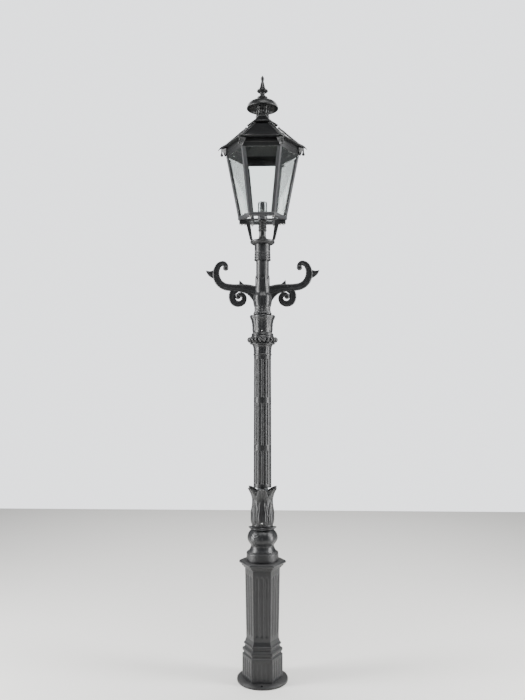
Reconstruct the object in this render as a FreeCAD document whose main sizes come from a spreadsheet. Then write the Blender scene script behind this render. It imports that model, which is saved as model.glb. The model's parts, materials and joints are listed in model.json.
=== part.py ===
import FreeCAD, Part
import Sketcher
import math
import os
import re

# Six-sided street lantern on an ornamental cast post, in millimetres with +Z up.
# The origin is the centre of the foot flange's underside. The hexagons have corners on the
# X axis, so one flat faces -Y (front) and one faces +Y (rear, with the access door and the
# roof hinge).
os.makedirs("parts", exist_ok=True)
doc = FreeCAD.newDocument("street_lantern")
V = FreeCAD.Vector
Z_AXIS = V(0, 0, 1)

# ---------------------------------------------------------------- driving dimensions
SIZES = {
    # heights of the stacked castings, from the ground up
    "flangeThickness": 18, "plinthHeight": 130, "mouldingHeight": 90, "shaftHeight": 394,
    "capHeight": 40, "drumHeight": 53, "knopHeight": 121, "saucerHeight": 20,
    "vaseHeight": 217, "columnHeight": 739, "bellHeight": 62, "gadroonHeight": 50,
    "sleeveHeight": 118, "hubHeight": 222, "spigotShow": 83, "lanternCollarHeight": 90,
    "cradleDiscHeight": 22, "cradleRise": 116, "ringThickness": 19, "glassRise": 340,
    "fasciaHeight": 46, "roofRise": 125, "skirtRise": 56, "ventRise": 53, "hoodRise": 41,
    "finialHeight": 135,
    # foot and pedestal (hexagon sizes are corner radii)
    "flangeRadius": 143, "flangeEdge": 12, "anchorCircle": 125, "anchorHole": 7,
    "cableEntry": 30, "plinthCorner": 114, "plinthWall": 10, "neckCorner": 99,
    "shaftFootCorner": 92, "shaftHeadCorner": 98.6, "shaftWall": 9, "capCorner": 134,
    "capStep": 118, "doorWidth": 62, "doorHeight": 230, "doorSill": 52, "doorGap": 1.2,
    "doorSwingGap": 3, "hingePinRadius": 3, "knuckleRadius": 6, "knuckleLength": 14, "lockRadius": 9,
    # post stack
    "coreRadius": 30, "coreWall": 3.2, "boreGap": 0.5, "drumRadius": 90, "knopRadius": 85,
    "knopNeck": 66, "saucerRadius": 80, "vaseFoot": 64, "vaseBelly": 67, "vaseWaist": 59,
    "vaseLip": 84, "columnFootRadius": 50.5, "columnHeadRadius": 48.5, "columnWall": 9,
    "fluteCount": 16, "fluteRadius": 7.5, "fluteDepth": 3, "fluteBreak": 45, "bellRadius": 58,
    "gadroonRadius": 89, "gadroonSeat": 64, "sleeveRadius": 55, "sleeveLip": 69,
    # scroll bracket
    "hubRadius": 45, "hubNeck": 40, "armSeat": 46, "armReach": 282, "armThickness": 24,
    "armWidth": 29, "leafReach": 321,
    # lantern seat
    "spigotRadius": 36, "spigotWall": 3, "spigotSocket": 62, "collarOverlap": 70,
    "lanternCollarRadius": 44, "cradleDiscRadius": 69, "cradleArmWidth": 24,
    "cradleArmThickness": 12, "cradleFootReach": 131, "cradleFootDepth": 22, "cableRadius": 4.5,
    "cableHole": 6,
    "stemRadius": 19, "stemFlare": 31, "glandRadius": 24, "glandHeight": 65,
    # lantern
    "ringCorner": 139, "ringBand": 26, "postInset": 1, "postFlange": 16, "postSheet": 4,
    "postRib": 16, "postRibHalf": 2, "glassThickness": 4, "glassGap": 0.6, "beadWidth": 8,
    "beadThickness": 5, "clipHeight": 14, "clipGap": 0.19,
    "fasciaCorner": 207, "fasciaWall": 6, "eaveCorner": 234, "eaveTip": 250, "roofSheet": 4,
    "roofHeadCorner": 66, "skirtCorner": 86, "skirtHeadRadius": 36, "ventFootRadius": 31,
    "ventHeadRadius": 45, "ventSlot": 14, "hoodRadius": 89, "hoodSheet": 4, "lampHolderRadius": 25.5,
    "lampHolderHeight": 82, "dropBall": 8.5, "dropReach": 232, "dropDepth": 37, "roofGap": 0.4,
    "hingeInset": 48.5,
    # fixings
    "grubRadius": 4, "grubProud": 1.5, "nutRadius": 5.5, "nutHeight": 16,
    "boltHeadRadius": 6, "boltHeadHeight": 7, "pinFit": 0.05,
}

sheet = doc.addObject("Spreadsheet::Sheet", "Dims")
for row, (name, size) in enumerate(SIZES.items(), start=1):
    sheet.set(f"A{row}", name)
    sheet.set(f"B{row}", str(size))
    sheet.setAlias(f"B{row}", name)
doc.recompute()

# ---------------------------------------------------------------- joint levels up the post
LEVELS = {
    "flangeTop": "flangeThickness",
    "plinthTop": "flangeTop + plinthHeight",
    "mouldingTop": "plinthTop + mouldingHeight",
    "shaftTop": "mouldingTop + shaftHeight",
    "capTop": "shaftTop + capHeight",
    "drumTop": "capTop + drumHeight",
    "knopTop": "drumTop + knopHeight",
    "saucerTop": "knopTop + saucerHeight",
    "vaseTop": "saucerTop + vaseHeight",
    "columnTop": "vaseTop + columnHeight",
    "bellTop": "columnTop + bellHeight",
    "gadroonTop": "bellTop + gadroonHeight",
    "sleeveTop": "gadroonTop + sleeveHeight",
    "hubTop": "sleeveTop + hubHeight",
    "spigotSeat": "hubTop - spigotSocket",
    "collarFoot": "hubTop + spigotShow",
    "collarTop": "collarFoot + lanternCollarHeight",
    "discTop": "collarTop + cradleDiscHeight",
    "ringFoot": "discTop + cradleRise",
    "ringTop": "ringFoot + ringThickness",
    "fasciaFoot": "ringTop + glassRise",
    "fasciaTop": "fasciaFoot + fasciaHeight",
    "roofTop": "fasciaTop + roofRise",
    "skirtTop": "roofTop + skirtRise",
    "ventTop": "skirtTop + ventRise",
    "hoodTop": "ventTop + hoodRise",
    "lampTop": "hoodTop + finialHeight",
    "dropLevel": "fasciaTop - dropDepth",
    "eaveInner": "fasciaCorner - postInset",
    "coreBore": "coreRadius + boreGap",
    "spigotBore": "spigotRadius + boreGap",
    "doorFoot": "mouldingTop + doorSill",
    "doorHead": "doorFoot + doorHeight",
    "pinBore": "hingePinRadius + pinFit",
}
levels = doc.addObject("App::VarSet", "Levels")
OWNER = {name: "Dims." + name for name in SIZES}


def bound(text):
    """An expression on the sheet's and levels' own names, written out in full."""
    return re.sub(r"[A-Za-z_]\w*", lambda word: OWNER.get(word.group(0), word.group(0)), str(text))


for name, rule in LEVELS.items():
    levels.addProperty("App::PropertyFloat", name)
    levels.setExpression(name, bound(rule))
    OWNER[name] = "Levels." + name
doc.recompute()


def number(text):
    return float(levels.evalExpression(bound(text)))


# ---------------------------------------------------------------- drawing helpers
def plane(body, role):
    return next(item for item in body.Origin.OriginFeatures if item.Role == role)


def outline(body, name, role, corners, lift=None):
    """A closed straight-sided sketch whose corners are bound to the sheet."""
    sketch = body.newObject("Sketcher::SketchObject", name)
    sketch.AttachmentSupport = [(plane(body, role), "")]
    sketch.MapMode = "FlatFace"
    if lift is not None:
        sketch.setExpression("AttachmentOffset.Base.z", bound(lift))
    spots = [V(number(across), number(along), 0) for across, along in corners]
    for start, end in zip(spots, spots[1:] + spots[:1]):
        sketch.addGeometry(Part.LineSegment(start, end), False)
    last = len(corners) - 1
    for side in range(len(corners)):
        sketch.addConstraint(Sketcher.Constraint("Coincident", side - 1 if side else last, 2, side, 1))
    for side, (across, along) in enumerate(corners):
        for kind, rule, spot in (("DistanceX", across, spots[side].x), ("DistanceY", along, spots[side].y)):
            index = sketch.addConstraint(Sketcher.Constraint(kind, -1, 1, side, 1, spot))
            sketch.setExpression(f"Constraints[{index}]", bound(rule))
    return sketch


def turned(label, corners):
    """A body of revolution: corners are (radius, level) pairs round the closed half section."""
    body = doc.addObject("PartDesign::Body", label)
    sketch = outline(body, label + "_section", "XZ_Plane", corners)
    lathe = body.newObject("PartDesign::Revolution", label + "_turning")
    lathe.Profile = sketch
    lathe.ReferenceAxis = (sketch, ["V_Axis"])
    lathe.Angle = 360
    sketch.Visibility = False
    return body


def lofted(label, sections, turn=0):
    """A ruled loft of straight-sided sections, each (level, corners), turned about Z."""
    body = doc.addObject("PartDesign::Body", label)
    sketches = [outline(body, f"{label}_at_{index}", "XY_Plane", corners, level)
                for index, (level, corners) in enumerate(sections)]
    loft = body.newObject("PartDesign::AdditiveLoft", label + "_loft")
    loft.Profile = sketches[0]
    loft.Sections = sketches[1:]
    loft.Ruled = True
    body.Placement = FreeCAD.Placement(V(), FreeCAD.Rotation(Z_AXIS, turn))
    return body


def plate(label, corners, thickness, turn=0, role="XZ_Plane"):
    """A flat profile padded equally to both sides of its plane, turned about Z."""
    body = doc.addObject("PartDesign::Body", label)
    sketch = outline(body, label + "_profile", role, corners)
    pad = body.newObject("PartDesign::Pad", label + "_pad")
    pad.Profile = sketch
    pad.setExpression("Length", bound(thickness))
    pad.Midplane = True
    body.Placement = FreeCAD.Placement(V(), FreeCAD.Rotation(Z_AXIS, turn))
    return body


def hexStack(label, stages):
    """A hexagonal solid through stages of (corner radius, level)."""
    rings = []
    for index, (corner, level) in enumerate(stages):
        ring = doc.addObject("Part::RegularPolygon", f"{label}_hex_{index}")
        ring.Polygon = 6
        ring.setExpression("Circumradius", bound(corner))
        ring.setExpression("Placement.Base.z", bound(level))
        rings.append(ring)
    loft = doc.addObject("Part::Loft", label)
    loft.Sections = rings
    loft.Solid = True
    loft.Ruled = True
    return loft


def rod(label, radius, length, spot=("0", "0", "0"), turn=None):
    """A cylinder standing on spot, along +Z unless turned."""
    cylinder = doc.addObject("Part::Cylinder", label)
    cylinder.Placement = FreeCAD.Placement(V(), turn or FreeCAD.Rotation())
    cylinder.setExpression("Radius", bound(radius))
    cylinder.setExpression("Height", bound(length))
    for axis, place in zip("xyz", spot):
        cylinder.setExpression(f"Placement.Base.{axis}", bound(place))
    return cylinder


def block(label, low, high):
    """A box between two corners given as rules."""
    box = doc.addObject("Part::Box", label)
    for side, axis, start, end in zip(("Length", "Width", "Height"), "xyz", low, high):
        box.setExpression(side, bound(f"({end}) - ({start})"))
        box.setExpression(f"Placement.Base.{axis}", bound(start))
    return box


def cut(label, base, *tools):
    tool = tools[0]
    if len(tools) > 1:
        tool = doc.addObject("Part::MultiFuse", label + "_cutters")
        tool.Shapes = list(tools)
    piece = doc.addObject("Part::Cut", label)
    piece.Base = base
    piece.Tool = tool
    return piece


def joined(label, *members):
    piece = doc.addObject("Part::MultiFuse", label)
    piece.Shapes = list(members)
    return piece


def group(label, members):
    """Separate solids of one kind kept in one sub-part."""
    piece = doc.addObject("Part::Compound", label)
    piece.Links = list(members)
    return piece


def around(radius, angle):
    """Two rules for the spot at a radius and an angle in degrees about the Z axis."""
    return f"({radius}) * cos({angle} deg)", f"({radius}) * sin({angle} deg)"


def swell(inner, outer, foot, head, steps=6):
    """Corners of a round bulge (or hollow) between two levels, as a half sine."""
    return [(f"{inner} + ({outer} - ({inner})) * sin({180 * step / steps} deg)",
             f"{foot} + ({head} - ({foot})) * {step / steps}") for step in range(1, steps)]


parts = {}
CORNERS = range(0, 360, 60)
FACES = range(30, 390, 60)
SLOPE = "cos(30 deg)"


# ---------------------------------------------------------------- foot and pedestal
def makeFootFlange():
    disc = turned("flange_disc", [("cableEntry", "0"), ("flangeRadius", "0"), ("flangeRadius", "flangeEdge"),
                                  ("plinthCorner", "flangeTop"), ("cableEntry", "flangeTop")])
    holes = [rod(f"anchor_hole_{angle}", "anchorHole", "flangeThickness + 2",
                 (*around("anchorCircle", angle), "-1")) for angle in (30, 150, 270)]
    return cut("foot_flange", disc, *holes)


def makePlinth():
    outer = hexStack("plinth_outer", [
        ("plinthCorner", "flangeTop"), ("plinthCorner", "plinthTop"),
        ("plinthCorner - 7", "plinthTop + 5"), ("plinthCorner - 7", "plinthTop + 13"),
        ("plinthCorner - 0.5", "plinthTop + 19"), ("plinthCorner - 0.5", "plinthTop + 31"),
        ("neckCorner", "plinthTop + 42"), ("neckCorner", "plinthTop + 52"),
        ("neckCorner + 7", "plinthTop + 55"), ("neckCorner + 7", "plinthTop + 64"),
        ("shaftFootCorner", "mouldingTop")])
    hollow = hexStack("plinth_hollow", [
        ("plinthCorner - plinthWall", "flangeTop - 1"), ("plinthCorner - plinthWall", "plinthTop - 6"),
        ("shaftFootCorner - shaftWall", "plinthTop + 16"), ("shaftFootCorner - shaftWall", "mouldingTop + 1")])
    return cut("plinth", outer, hollow)


def makeShaft():
    outer = hexStack("shaft_outer", [("shaftFootCorner", "mouldingTop"),
                                     ("shaftHeadCorner", "shaftTop - 17"), ("shaftHeadCorner", "shaftTop")])
    hollow = hexStack("shaft_hollow", [("shaftFootCorner - shaftWall", "mouldingTop - 1"),
                                       ("shaftHeadCorner - shaftWall", "shaftTop - 17"),
                                       ("shaftHeadCorner - shaftWall", "shaftTop + 1")])
    shell = cut("shaft_shell", outer, hollow)
    half = "doorWidth / 2"
    gap = "doorGap"
    opening = block("door_opening", (f"-{half}", "0", "doorFoot"), (half, "shaftHeadCorner", "doorHead"))
    leaf = block("door_leaf", (f"-{half} + {gap}", "0", f"doorFoot + {gap}"),
                 (f"{half} - doorSwingGap", "shaftHeadCorner", f"doorHead - {gap}"))
    door = doc.addObject("Part::Common", "door_panel")
    door.Base = shell
    door.Tool = leaf
    return shell, opening, door


def makeCap():
    outer = hexStack("cap_outer", [
        ("shaftHeadCorner + 9", "shaftTop"), ("shaftHeadCorner + 9", "shaftTop + 10"),
        ("capStep", "shaftTop + 11"), ("capStep", "shaftTop + 22"), ("capCorner - 4", "shaftTop + 24"),
        ("capCorner", "shaftTop + 32"), ("capCorner - 5", "capTop")])
    return cut("pedestal_cap", outer, rod("cap_bore", "coreBore", "capHeight + 2", ("0", "0", "shaftTop - 1")))


HINGE_LEVELS = ("doorFoot + 30", "doorHead - 30")
PIN_X = "-doorWidth / 2 - 5"
PIN_Y = "shaftHeadCorner * cos(30 deg) + 4.5"


def makeDoorHinges(shell, opening, door):
    """Two knuckle hinges outside the shaft's rear face; the middle knuckle is the door's."""
    fixed, moving, pins, bores, sweeps = [], [], [], [], []
    wallFace = "shaftFootCorner * cos(30 deg) - 2"
    for index, level in enumerate(HINGE_LEVELS):
        for side in (-1, 1):
            foot = f"{level} + {side} * (knuckleLength + 0.6) - knuckleLength / 2"
            knuckle = rod(f"fixed_knuckle_{index}_{side + 1}", "knuckleRadius", "knuckleLength",
                          (PIN_X, PIN_Y, foot))
            web = block(f"fixed_web_{index}_{side + 1}", (f"{PIN_X} - knuckleRadius", wallFace, foot),
                        (f"{PIN_X} + 3", PIN_Y, f"{foot} + knuckleLength"))
            fixed += [knuckle, web]
        foot = f"{level} - knuckleLength / 2"
        moving.append(rod(f"door_knuckle_{index}", "knuckleRadius", "knuckleLength", (PIN_X, PIN_Y, foot)))
        moving.append(block(f"door_web_{index}", (PIN_X, f"{PIN_Y} - 3", foot),
                            ("-doorWidth / 2 + 12", f"{PIN_Y} + 3", f"{foot} + knuckleLength")))
        moving.append(block(f"door_boss_{index}", ("-doorWidth / 2 + doorGap + 1", wallFace, foot),
                            ("-doorWidth / 2 + 12", f"{PIN_Y} + 3", f"{foot} + knuckleLength")))
        sweeps.append(rod(f"knuckle_room_{index}", "knuckleRadius + 0.8", "knuckleLength + 1.2",
                          (PIN_X, PIN_Y, f"{foot} - 0.6")))
        span = "3 * knuckleLength + 1.2"
        bores.append(rod(f"hinge_bore_{index}", "pinBore", f"{span} + 2",
                         (PIN_X, PIN_Y, f"{level} - ({span}) / 2 - 1")))
        pins.append(rod(f"hinge_pin_{index}", "hingePinRadius", f"{span} + 4",
                        (PIN_X, PIN_Y, f"{level} - ({span}) / 2 - 2")))
    lockSpot = ("doorWidth / 2 - 15", "0", "(doorFoot + doorHead) / 2")
    lockBore = rod("lock_bore", "lockRadius + 0.3", "shaftHeadCorner", lockSpot,
                   FreeCAD.Rotation(V(1, 0, 0), -90))
    inside = hexStack("shaft_room", [("shaftFootCorner - shaftWall", "mouldingTop - 1"),
                                     ("shaftHeadCorner - shaftWall", "shaftTop - 17")])
    shaftBody = joined("shaft_with_knuckles", cut("shaft_open", shell, opening), *fixed)
    shaft = cut("pedestal_shaft", shaftBody, inside, *bores, *sweeps)
    doorBody = joined("door_with_knuckles", door, *moving)
    return shaft, cut("access_door", doorBody, lockBore, inside, *bores), group("door_hinge_pins", pins)


def makeDoorLock():
    """Quarter-turn barrel with a three-sided key head; its cam hangs down when unlocked."""
    turn = FreeCAD.Rotation(V(1, 0, 0), -90)
    spot = ("doorWidth / 2 - 15", "shaftFootCorner * cos(30 deg) - shaftWall - 4",
            "(doorFoot + doorHead) / 2")
    barrel = rod("lock_barrel", "lockRadius", f"{PIN_Y} - ({spot[1]}) - 1", spot, turn)
    rose = rod("lock_rose", "lockRadius + 3", "3", (spot[0], f"{PIN_Y} - 2.5", spot[2]), turn)
    key = doc.addObject("Part::Prism", "lock_key")
    key.Polygon = 3
    key.Circumradius = 5
    key.Height = 7
    key.Placement = FreeCAD.Placement(V(), turn)
    for axis, place in zip("xyz", (spot[0], f"{PIN_Y} - 1", spot[2])):
        key.setExpression(f"Placement.Base.{axis}", bound(place))
    cam = block("lock_cam", (f"{spot[0]} - 6", f"{spot[1]} - 4", f"{spot[2]} - 26"),
                (f"{spot[0]} + 6", spot[1], f"{spot[2]} + 8"))
    return joined("door_lock", barrel, rose, key, cam)


def makeFuseBoard():
    """Mounting board standing on the flange, with the fused cut-out on its rear side."""
    foot = block("board_foot", ("-32", "-31", "flangeTop"), ("32", "10", "flangeTop + 5"))
    back = block("board_back", ("-32", "-31", "flangeTop"), ("32", "-27", "doorHead - 40"))
    hole = rod("board_cable_hole", "cableHole + 3", "10", ("0", "0", "flangeTop - 2"))
    board = cut("mounting_board", joined("board_blank", foot, back), hole)
    case = block("cutout_case", ("-28", "-27", "doorFoot + 10"), ("28", "26", "doorHead - 80"))
    neck = rod("cutout_gland", "cableHole + 4", "14", ("0", "0", "doorHead - 80"))
    hole = rod("cutout_cable_hole", "cableHole", "30", ("0", "0", "doorHead - 92"))
    return board, cut("fuse_cutout", joined("cutout_blank", case, neck), hole)


parts["foot_flange"] = makeFootFlange()
parts["plinth"] = makePlinth()
shaftShell, doorOpening, doorPanel = makeShaft()
parts["pedestal_shaft"], parts["access_door"], parts["door_hinge_pins"] = makeDoorHinges(
    shaftShell, doorOpening, doorPanel)
parts["door_lock"] = makeDoorLock()
parts["pedestal_cap"] = makeCap()
parts["mounting_board"], parts["fuse_cutout"] = makeFuseBoard()


# ---------------------------------------------------------------- turned castings of the post
def collar(label, bore, foot, head, skin):
    """A turned casting threaded on a tube: skin runs from its foot corner to its head corner."""
    return turned(label, [(bore, foot), *skin, (bore, head)])


parts["core_tube"] = cut("core_tube", rod("core_outer", "coreRadius", "spigotSeat - shaftTop + 30",
                                          ("0", "0", "shaftTop - 30")),
                         rod("core_inner", "coreRadius - coreWall", "spigotSeat - shaftTop + 40",
                             ("0", "0", "shaftTop - 35")))
parts["drum_collar"] = collar("drum_collar", "coreBore", "capTop", "drumTop", [
    ("drumRadius", "capTop"), ("drumRadius", "drumTop - 9"), ("drumRadius - 14", "drumTop")])
parts["leaf_knop"] = collar("leaf_knop", "coreBore", "drumTop", "knopTop", [
    ("knopNeck + 9", "drumTop"), ("knopNeck + 8", "drumTop + 6"), ("knopNeck + 1", "drumTop + 14"),
    ("knopNeck", "drumTop + 32"), *swell("knopNeck", "knopRadius", "drumTop + 32", "knopTop"),
    ("knopNeck - 4", "knopTop")])
parts["wavy_saucer"] = collar("wavy_saucer", "coreBore", "knopTop", "saucerTop", [
    ("saucerRadius - 12", "knopTop"), ("saucerRadius", "knopTop + 6"), ("saucerRadius", "knopTop + 14"),
    ("saucerRadius - 14", "saucerTop")])
parts["leaf_vase"] = collar("leaf_vase", "coreBore", "saucerTop", "vaseTop", [
    ("vaseFoot - 4", "saucerTop"), ("vaseFoot", "saucerTop + 8"), ("vaseBelly", "saucerTop + 45"),
    ("vaseBelly - 2", "saucerTop + 70"), ("vaseWaist", "saucerTop + 110"),
    ("vaseWaist + 3", "saucerTop + 150"), ("vaseLip", "vaseTop - 6"), ("vaseLip - 5", "vaseTop"),
    ("columnFootRadius + boreGap", "vaseTop")])


def makeColumn():
    """Tapered tube with flutes in three stopped lengths, broken by plain blocks."""
    body = turned("fluted_column", [("columnHeadRadius - columnWall", "vaseTop"),
                                    ("columnFootRadius", "vaseTop"), ("columnHeadRadius", "columnTop"),
                                    ("columnHeadRadius - columnWall", "columnTop")])
    axis = "columnFootRadius - 1 + fluteRadius - fluteDepth"
    breaks = ["vaseTop + 22", "vaseTop + columnHeight * 0.302", "vaseTop + columnHeight * 0.663",
              "columnTop - 22"]
    for index in range(3):
        foot = breaks[index] + (" + fluteBreak / 2" if index else "")
        head = breaks[index + 1] + (" - fluteBreak / 2" if index < 2 else "")
        section = outline(body, f"flute_section_{index}", "XZ_Plane", [
            (axis, foot), (f"{axis} - fluteRadius * 0.7", f"{foot} + fluteRadius * 0.3"),
            (f"{axis} - fluteRadius", f"{foot} + fluteRadius"),
            (f"{axis} - fluteRadius", f"{head} - fluteRadius"),
            (f"{axis} - fluteRadius * 0.7", f"{head} - fluteRadius * 0.3"), (axis, head)])
        groove = body.newObject("PartDesign::Groove", f"flute_{index}")
        groove.Profile = section
        groove.ReferenceAxis = (section, ["Edge6"])
        groove.Angle = 360
        doc.recompute()
        ring = body.newObject("PartDesign::PolarPattern", f"flute_ring_{index}")
        ring.Originals = [groove]
        ring.Axis = (plane(body, "Z_Axis"), [""])
        ring.Angle = 360
        ring.setExpression("Occurrences", bound("fluteCount"))
        body.Tip = ring
        doc.recompute()
    return body


parts["fluted_column"] = makeColumn()
parts["column_bell"] = collar("column_bell", "coreBore", "columnTop", "bellTop", [
    ("columnHeadRadius", "columnTop"), ("columnHeadRadius + 3.5", "columnTop + 28"),
    ("bellRadius", "bellTop")])
parts["gadroon_ring"] = collar("gadroon_ring", "coreBore", "bellTop", "gadroonTop", [
    ("bellRadius + 2", "bellTop"), *swell("gadroonSeat + 8", "gadroonRadius", "bellTop", "gadroonTop - 10"),
    ("gadroonSeat", "gadroonTop - 8"), ("gadroonSeat", "gadroonTop")])
parts["bracket_sleeve"] = collar("bracket_sleeve", "coreBore", "gadroonTop", "sleeveTop", [
    ("sleeveRadius + 7", "gadroonTop"), ("sleeveRadius + 7", "gadroonTop + 10"),
    ("sleeveRadius", "gadroonTop + 18"), ("sleeveRadius + 4", "sleeveTop - 50"),
    ("sleeveLip", "sleeveTop - 12"), ("sleeveLip - 8", "sleeveTop")])


# ---------------------------------------------------------------- scroll bracket
def makeHub():
    body = collar("hub_body", "coreBore", "sleeveTop", "spigotSeat", [
        ("hubRadius + 6", "sleeveTop"), ("hubRadius", "sleeveTop + 20"),
        ("hubRadius", "sleeveTop + 42"), ("hubRadius + 9", "sleeveTop + 95"),
        ("hubNeck + 4", "sleeveTop + 125"), ("hubNeck + 4", "spigotSeat")])
    socket = collar("hub_socket", "spigotBore", "spigotSeat", "hubTop", [
        ("hubNeck + 4", "spigotSeat"), ("hubNeck", "hubTop - 30"), ("hubNeck + 2", "hubTop")])
    flats = [block(f"hub_flat_{side + 1}",
                   (f"{side} * (armSeat + 20) - 20", "-hubRadius", "sleeveTop + 60"),
                   (f"{side} * (armSeat + 20) + 20", "hubRadius", "spigotSeat + 12"))
             for side in (-1, 1)]
    return cut("bracket_hub", joined("hub_blank", body, socket), *flats)


# centre lines of the upper scroll and the lower volute, from the hub's flat outwards
UPPER_SCROLL = [(-8, -12), (30, 0), (80, 6), (140, 8), (188, 24), (218, 58), (222, 102), (204, 138),
                (178, 147), (159, 133), (158, 110), (171, 100)]
LOWER_VOLUTE = [(112, 2), (128, -30), (127, -60), (110, -84), (86, -91), (64, -78), (57, -52), (68, -30),
                (86, -28), (96, -42)]


def ribbon(points, startHalf, endHalf, reach, thickness):
    """A flat scroll: a band that narrows along a smooth curve, with a round end."""
    line = Part.BSplineCurve()
    line.interpolate([V(x * reach, 0, z * reach) for x, z in points])
    steps = 28
    left, right = [], []
    for step in range(steps + 1):
        place = line.FirstParameter + (line.LastParameter - line.FirstParameter) * step / steps
        spot = line.value(place)
        ahead = line.tangent(place)[0]
        half = startHalf + (endHalf - startHalf) * step / steps
        side = V(-ahead.z, 0, ahead.x) * half
        left.append(spot + side)
        right.append(spot - side)
    edges = []
    for row in (left, list(reversed(right))):
        curve = Part.BSplineCurve()
        curve.interpolate(row)
        edges.append(curve.toShape())
    ahead = line.tangent(line.LastParameter)[0] * endHalf
    cap = Part.Arc(left[-1], line.value(line.LastParameter) + ahead, right[-1]).toShape()
    foot = Part.LineSegment(right[0], left[0]).toShape()
    face = Part.Face(Part.Wire([edges[0], cap, edges[1], foot]))
    face.translate(V(0, -thickness / 2, 0))
    return face.extrude(V(0, thickness, 0))


def makeScrollArm(label, side):
    """One cast arm: upper scroll, lower volute and the outward leaf tip, mirrored for the left."""
    root = number("armSeat")
    level = number("sleeveTop + 148")
    reach = number("armReach - armSeat") / 236
    thick = number("armThickness")
    half = number("armWidth / 2")
    upper = ribbon(UPPER_SCROLL, half + 4, half - 3, reach, thick)
    lower = ribbon(LOWER_VOLUTE, half, half - 4, reach, thick - 2)
    knee = Part.Face(Part.makePolygon([V(-8, 0, -82), V(9, 0, -58), V(33, 0, -25), V(72, 0, -6),
                                       V(40, 0, 14), V(-8, 0, 14), V(-8, 0, -82)]))
    knee.translate(V(0, 1 - thick / 2, 0))
    tip = number("leafReach - armSeat")
    inner = 216 * reach
    leaf = Part.Face(Part.makePolygon([V(inner, 0, 84), V(tip, 0, 98), V(inner, 0, 116), V(inner, 0, 84)]))
    leaf.translate(V(0, -thick / 4, 0))
    arm = upper.fuse(lower).fuse(knee.extrude(V(0, thick - 2, 0)))
    arm = arm.fuse(leaf.extrude(V(0, thick / 2, 0))).removeSplitter()
    arm = arm.cut(Part.makeBox(40, 2 * thick, 160, V(-40, -thick, -120)))
    arm.translate(V(root, 0, level))
    if side < 0:
        arm = arm.mirror(V(), V(1, 0, 0))
    piece = doc.addObject("Part::Feature", label)
    piece.Shape = arm
    return piece


parts["bracket_hub"] = makeHub()
parts["scroll_arm_left"] = makeScrollArm("scroll_arm_left", -1)
parts["scroll_arm_right"] = makeScrollArm("scroll_arm_right", 1)


# ---------------------------------------------------------------- lantern seat
parts["spigot_tube"] = cut(
    "spigot_tube", rod("spigot_outer", "spigotRadius", "spigotSocket + spigotShow + collarOverlap",
                       ("0", "0", "spigotSeat")),
    rod("spigot_inner", "spigotRadius - spigotWall", "spigotSocket + spigotShow + collarOverlap + 10",
        ("0", "0", "spigotSeat - 5")))
parts["lantern_collar"] = turned("lantern_collar", [
    ("spigotBore", "collarFoot"), ("lanternCollarRadius + 3", "collarFoot"),
    ("lanternCollarRadius + 3", "collarFoot + 10"), ("lanternCollarRadius - 2", "collarFoot + 15"),
    ("lanternCollarRadius", "collarFoot + 32"), ("lanternCollarRadius", "collarTop"),
    ("cableHole", "collarTop"), ("cableHole", "collarFoot + collarOverlap + 1"),
    ("spigotBore", "collarFoot + collarOverlap + 1")])
parts["cradle_disc"] = turned("cradle_disc", [
    ("cableHole", "collarTop"), ("cradleDiscRadius - 12", "collarTop"), ("cradleDiscRadius", "collarTop + 10"),
    ("cradleDiscRadius", "discTop - 3"), ("cradleDiscRadius - 4", "discTop"), ("cableHole", "discTop")])


def makeCradleArm(label, turn):
    """Upright arm of the cradle, leaning outwards, with a foot turned out under the ring."""
    thick = "cradleArmThickness"
    return plate(label, [
        ("cradleDiscRadius - 20", "discTop"), ("cradleDiscRadius - 5", "discTop"),
        ("cradleDiscRadius + 3", "discTop + 10"), ("cradleDiscRadius + 23", "ringFoot - cradleFootDepth"),
        ("cradleFootReach", "ringFoot - cradleFootDepth"), ("cradleFootReach", "ringFoot"),
        ("cradleDiscRadius + 2", "ringFoot"), (f"cradleDiscRadius - {thick}", "discTop + 12"),
    ], "cradleArmWidth", turn)


parts["cradle_arm_right"] = makeCradleArm("cradle_arm_right", 0)
parts["cradle_arm_left"] = makeCradleArm("cradle_arm_left", 180)
parts["stem_pipe"] = turned("stem_pipe", [
    ("cableHole", "discTop"), ("stemFlare", "discTop"), ("stemFlare - 6", "discTop + 12"),
    ("stemRadius", "discTop + 28"), ("stemRadius", "ringFoot - glandHeight"),
    ("cableHole", "ringFoot - glandHeight")])
parts["cable_gland"] = turned("cable_gland", [
    ("cableHole", "ringFoot - glandHeight"), ("glandRadius - 2", "ringFoot - glandHeight"),
    ("glandRadius", "ringFoot - glandHeight + 4"), ("glandRadius", "ringFoot - 4"),
    ("glandRadius - 2", "ringFoot"), ("cableHole", "ringFoot")])
parts["supply_cable"] = rod("supply_cable", "cableRadius", "ringTop + 6 - (doorHead - 90)",
                            ("0", "0", "doorHead - 90"))


# ---------------------------------------------------------------- lantern frame and glass
def makeRing():
    """Hexagonal ring that carries the glass, with a cross bar for the lamp holder."""
    outer = hexStack("ring_outer", [("ringCorner - 3", "ringFoot"), ("ringCorner", "ringFoot + 4"),
                                    ("ringCorner", "ringTop")])
    inner = hexStack("ring_inner", [("ringCorner - ringBand", "ringFoot - 1"),
                                    ("ringCorner - ringBand", "ringTop + 1")])
    bar = block("ring_bar", ("-(ringCorner - ringBand / 2)", "-14", "ringFoot"),
                ("ringCorner - ringBand / 2", "14", "ringFoot + 8"))
    boss = rod("ring_boss", "lampHolderRadius + 2", "ringThickness", ("0", "0", "ringFoot"))
    hole = rod("ring_cable_hole", "cableHole", "ringThickness + 2", ("0", "0", "ringFoot - 1"))
    frame = joined("ring_blank", cut("ring_frame", outer, inner), bar, boss)
    return cut("lantern_ring", frame, hole)


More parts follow.
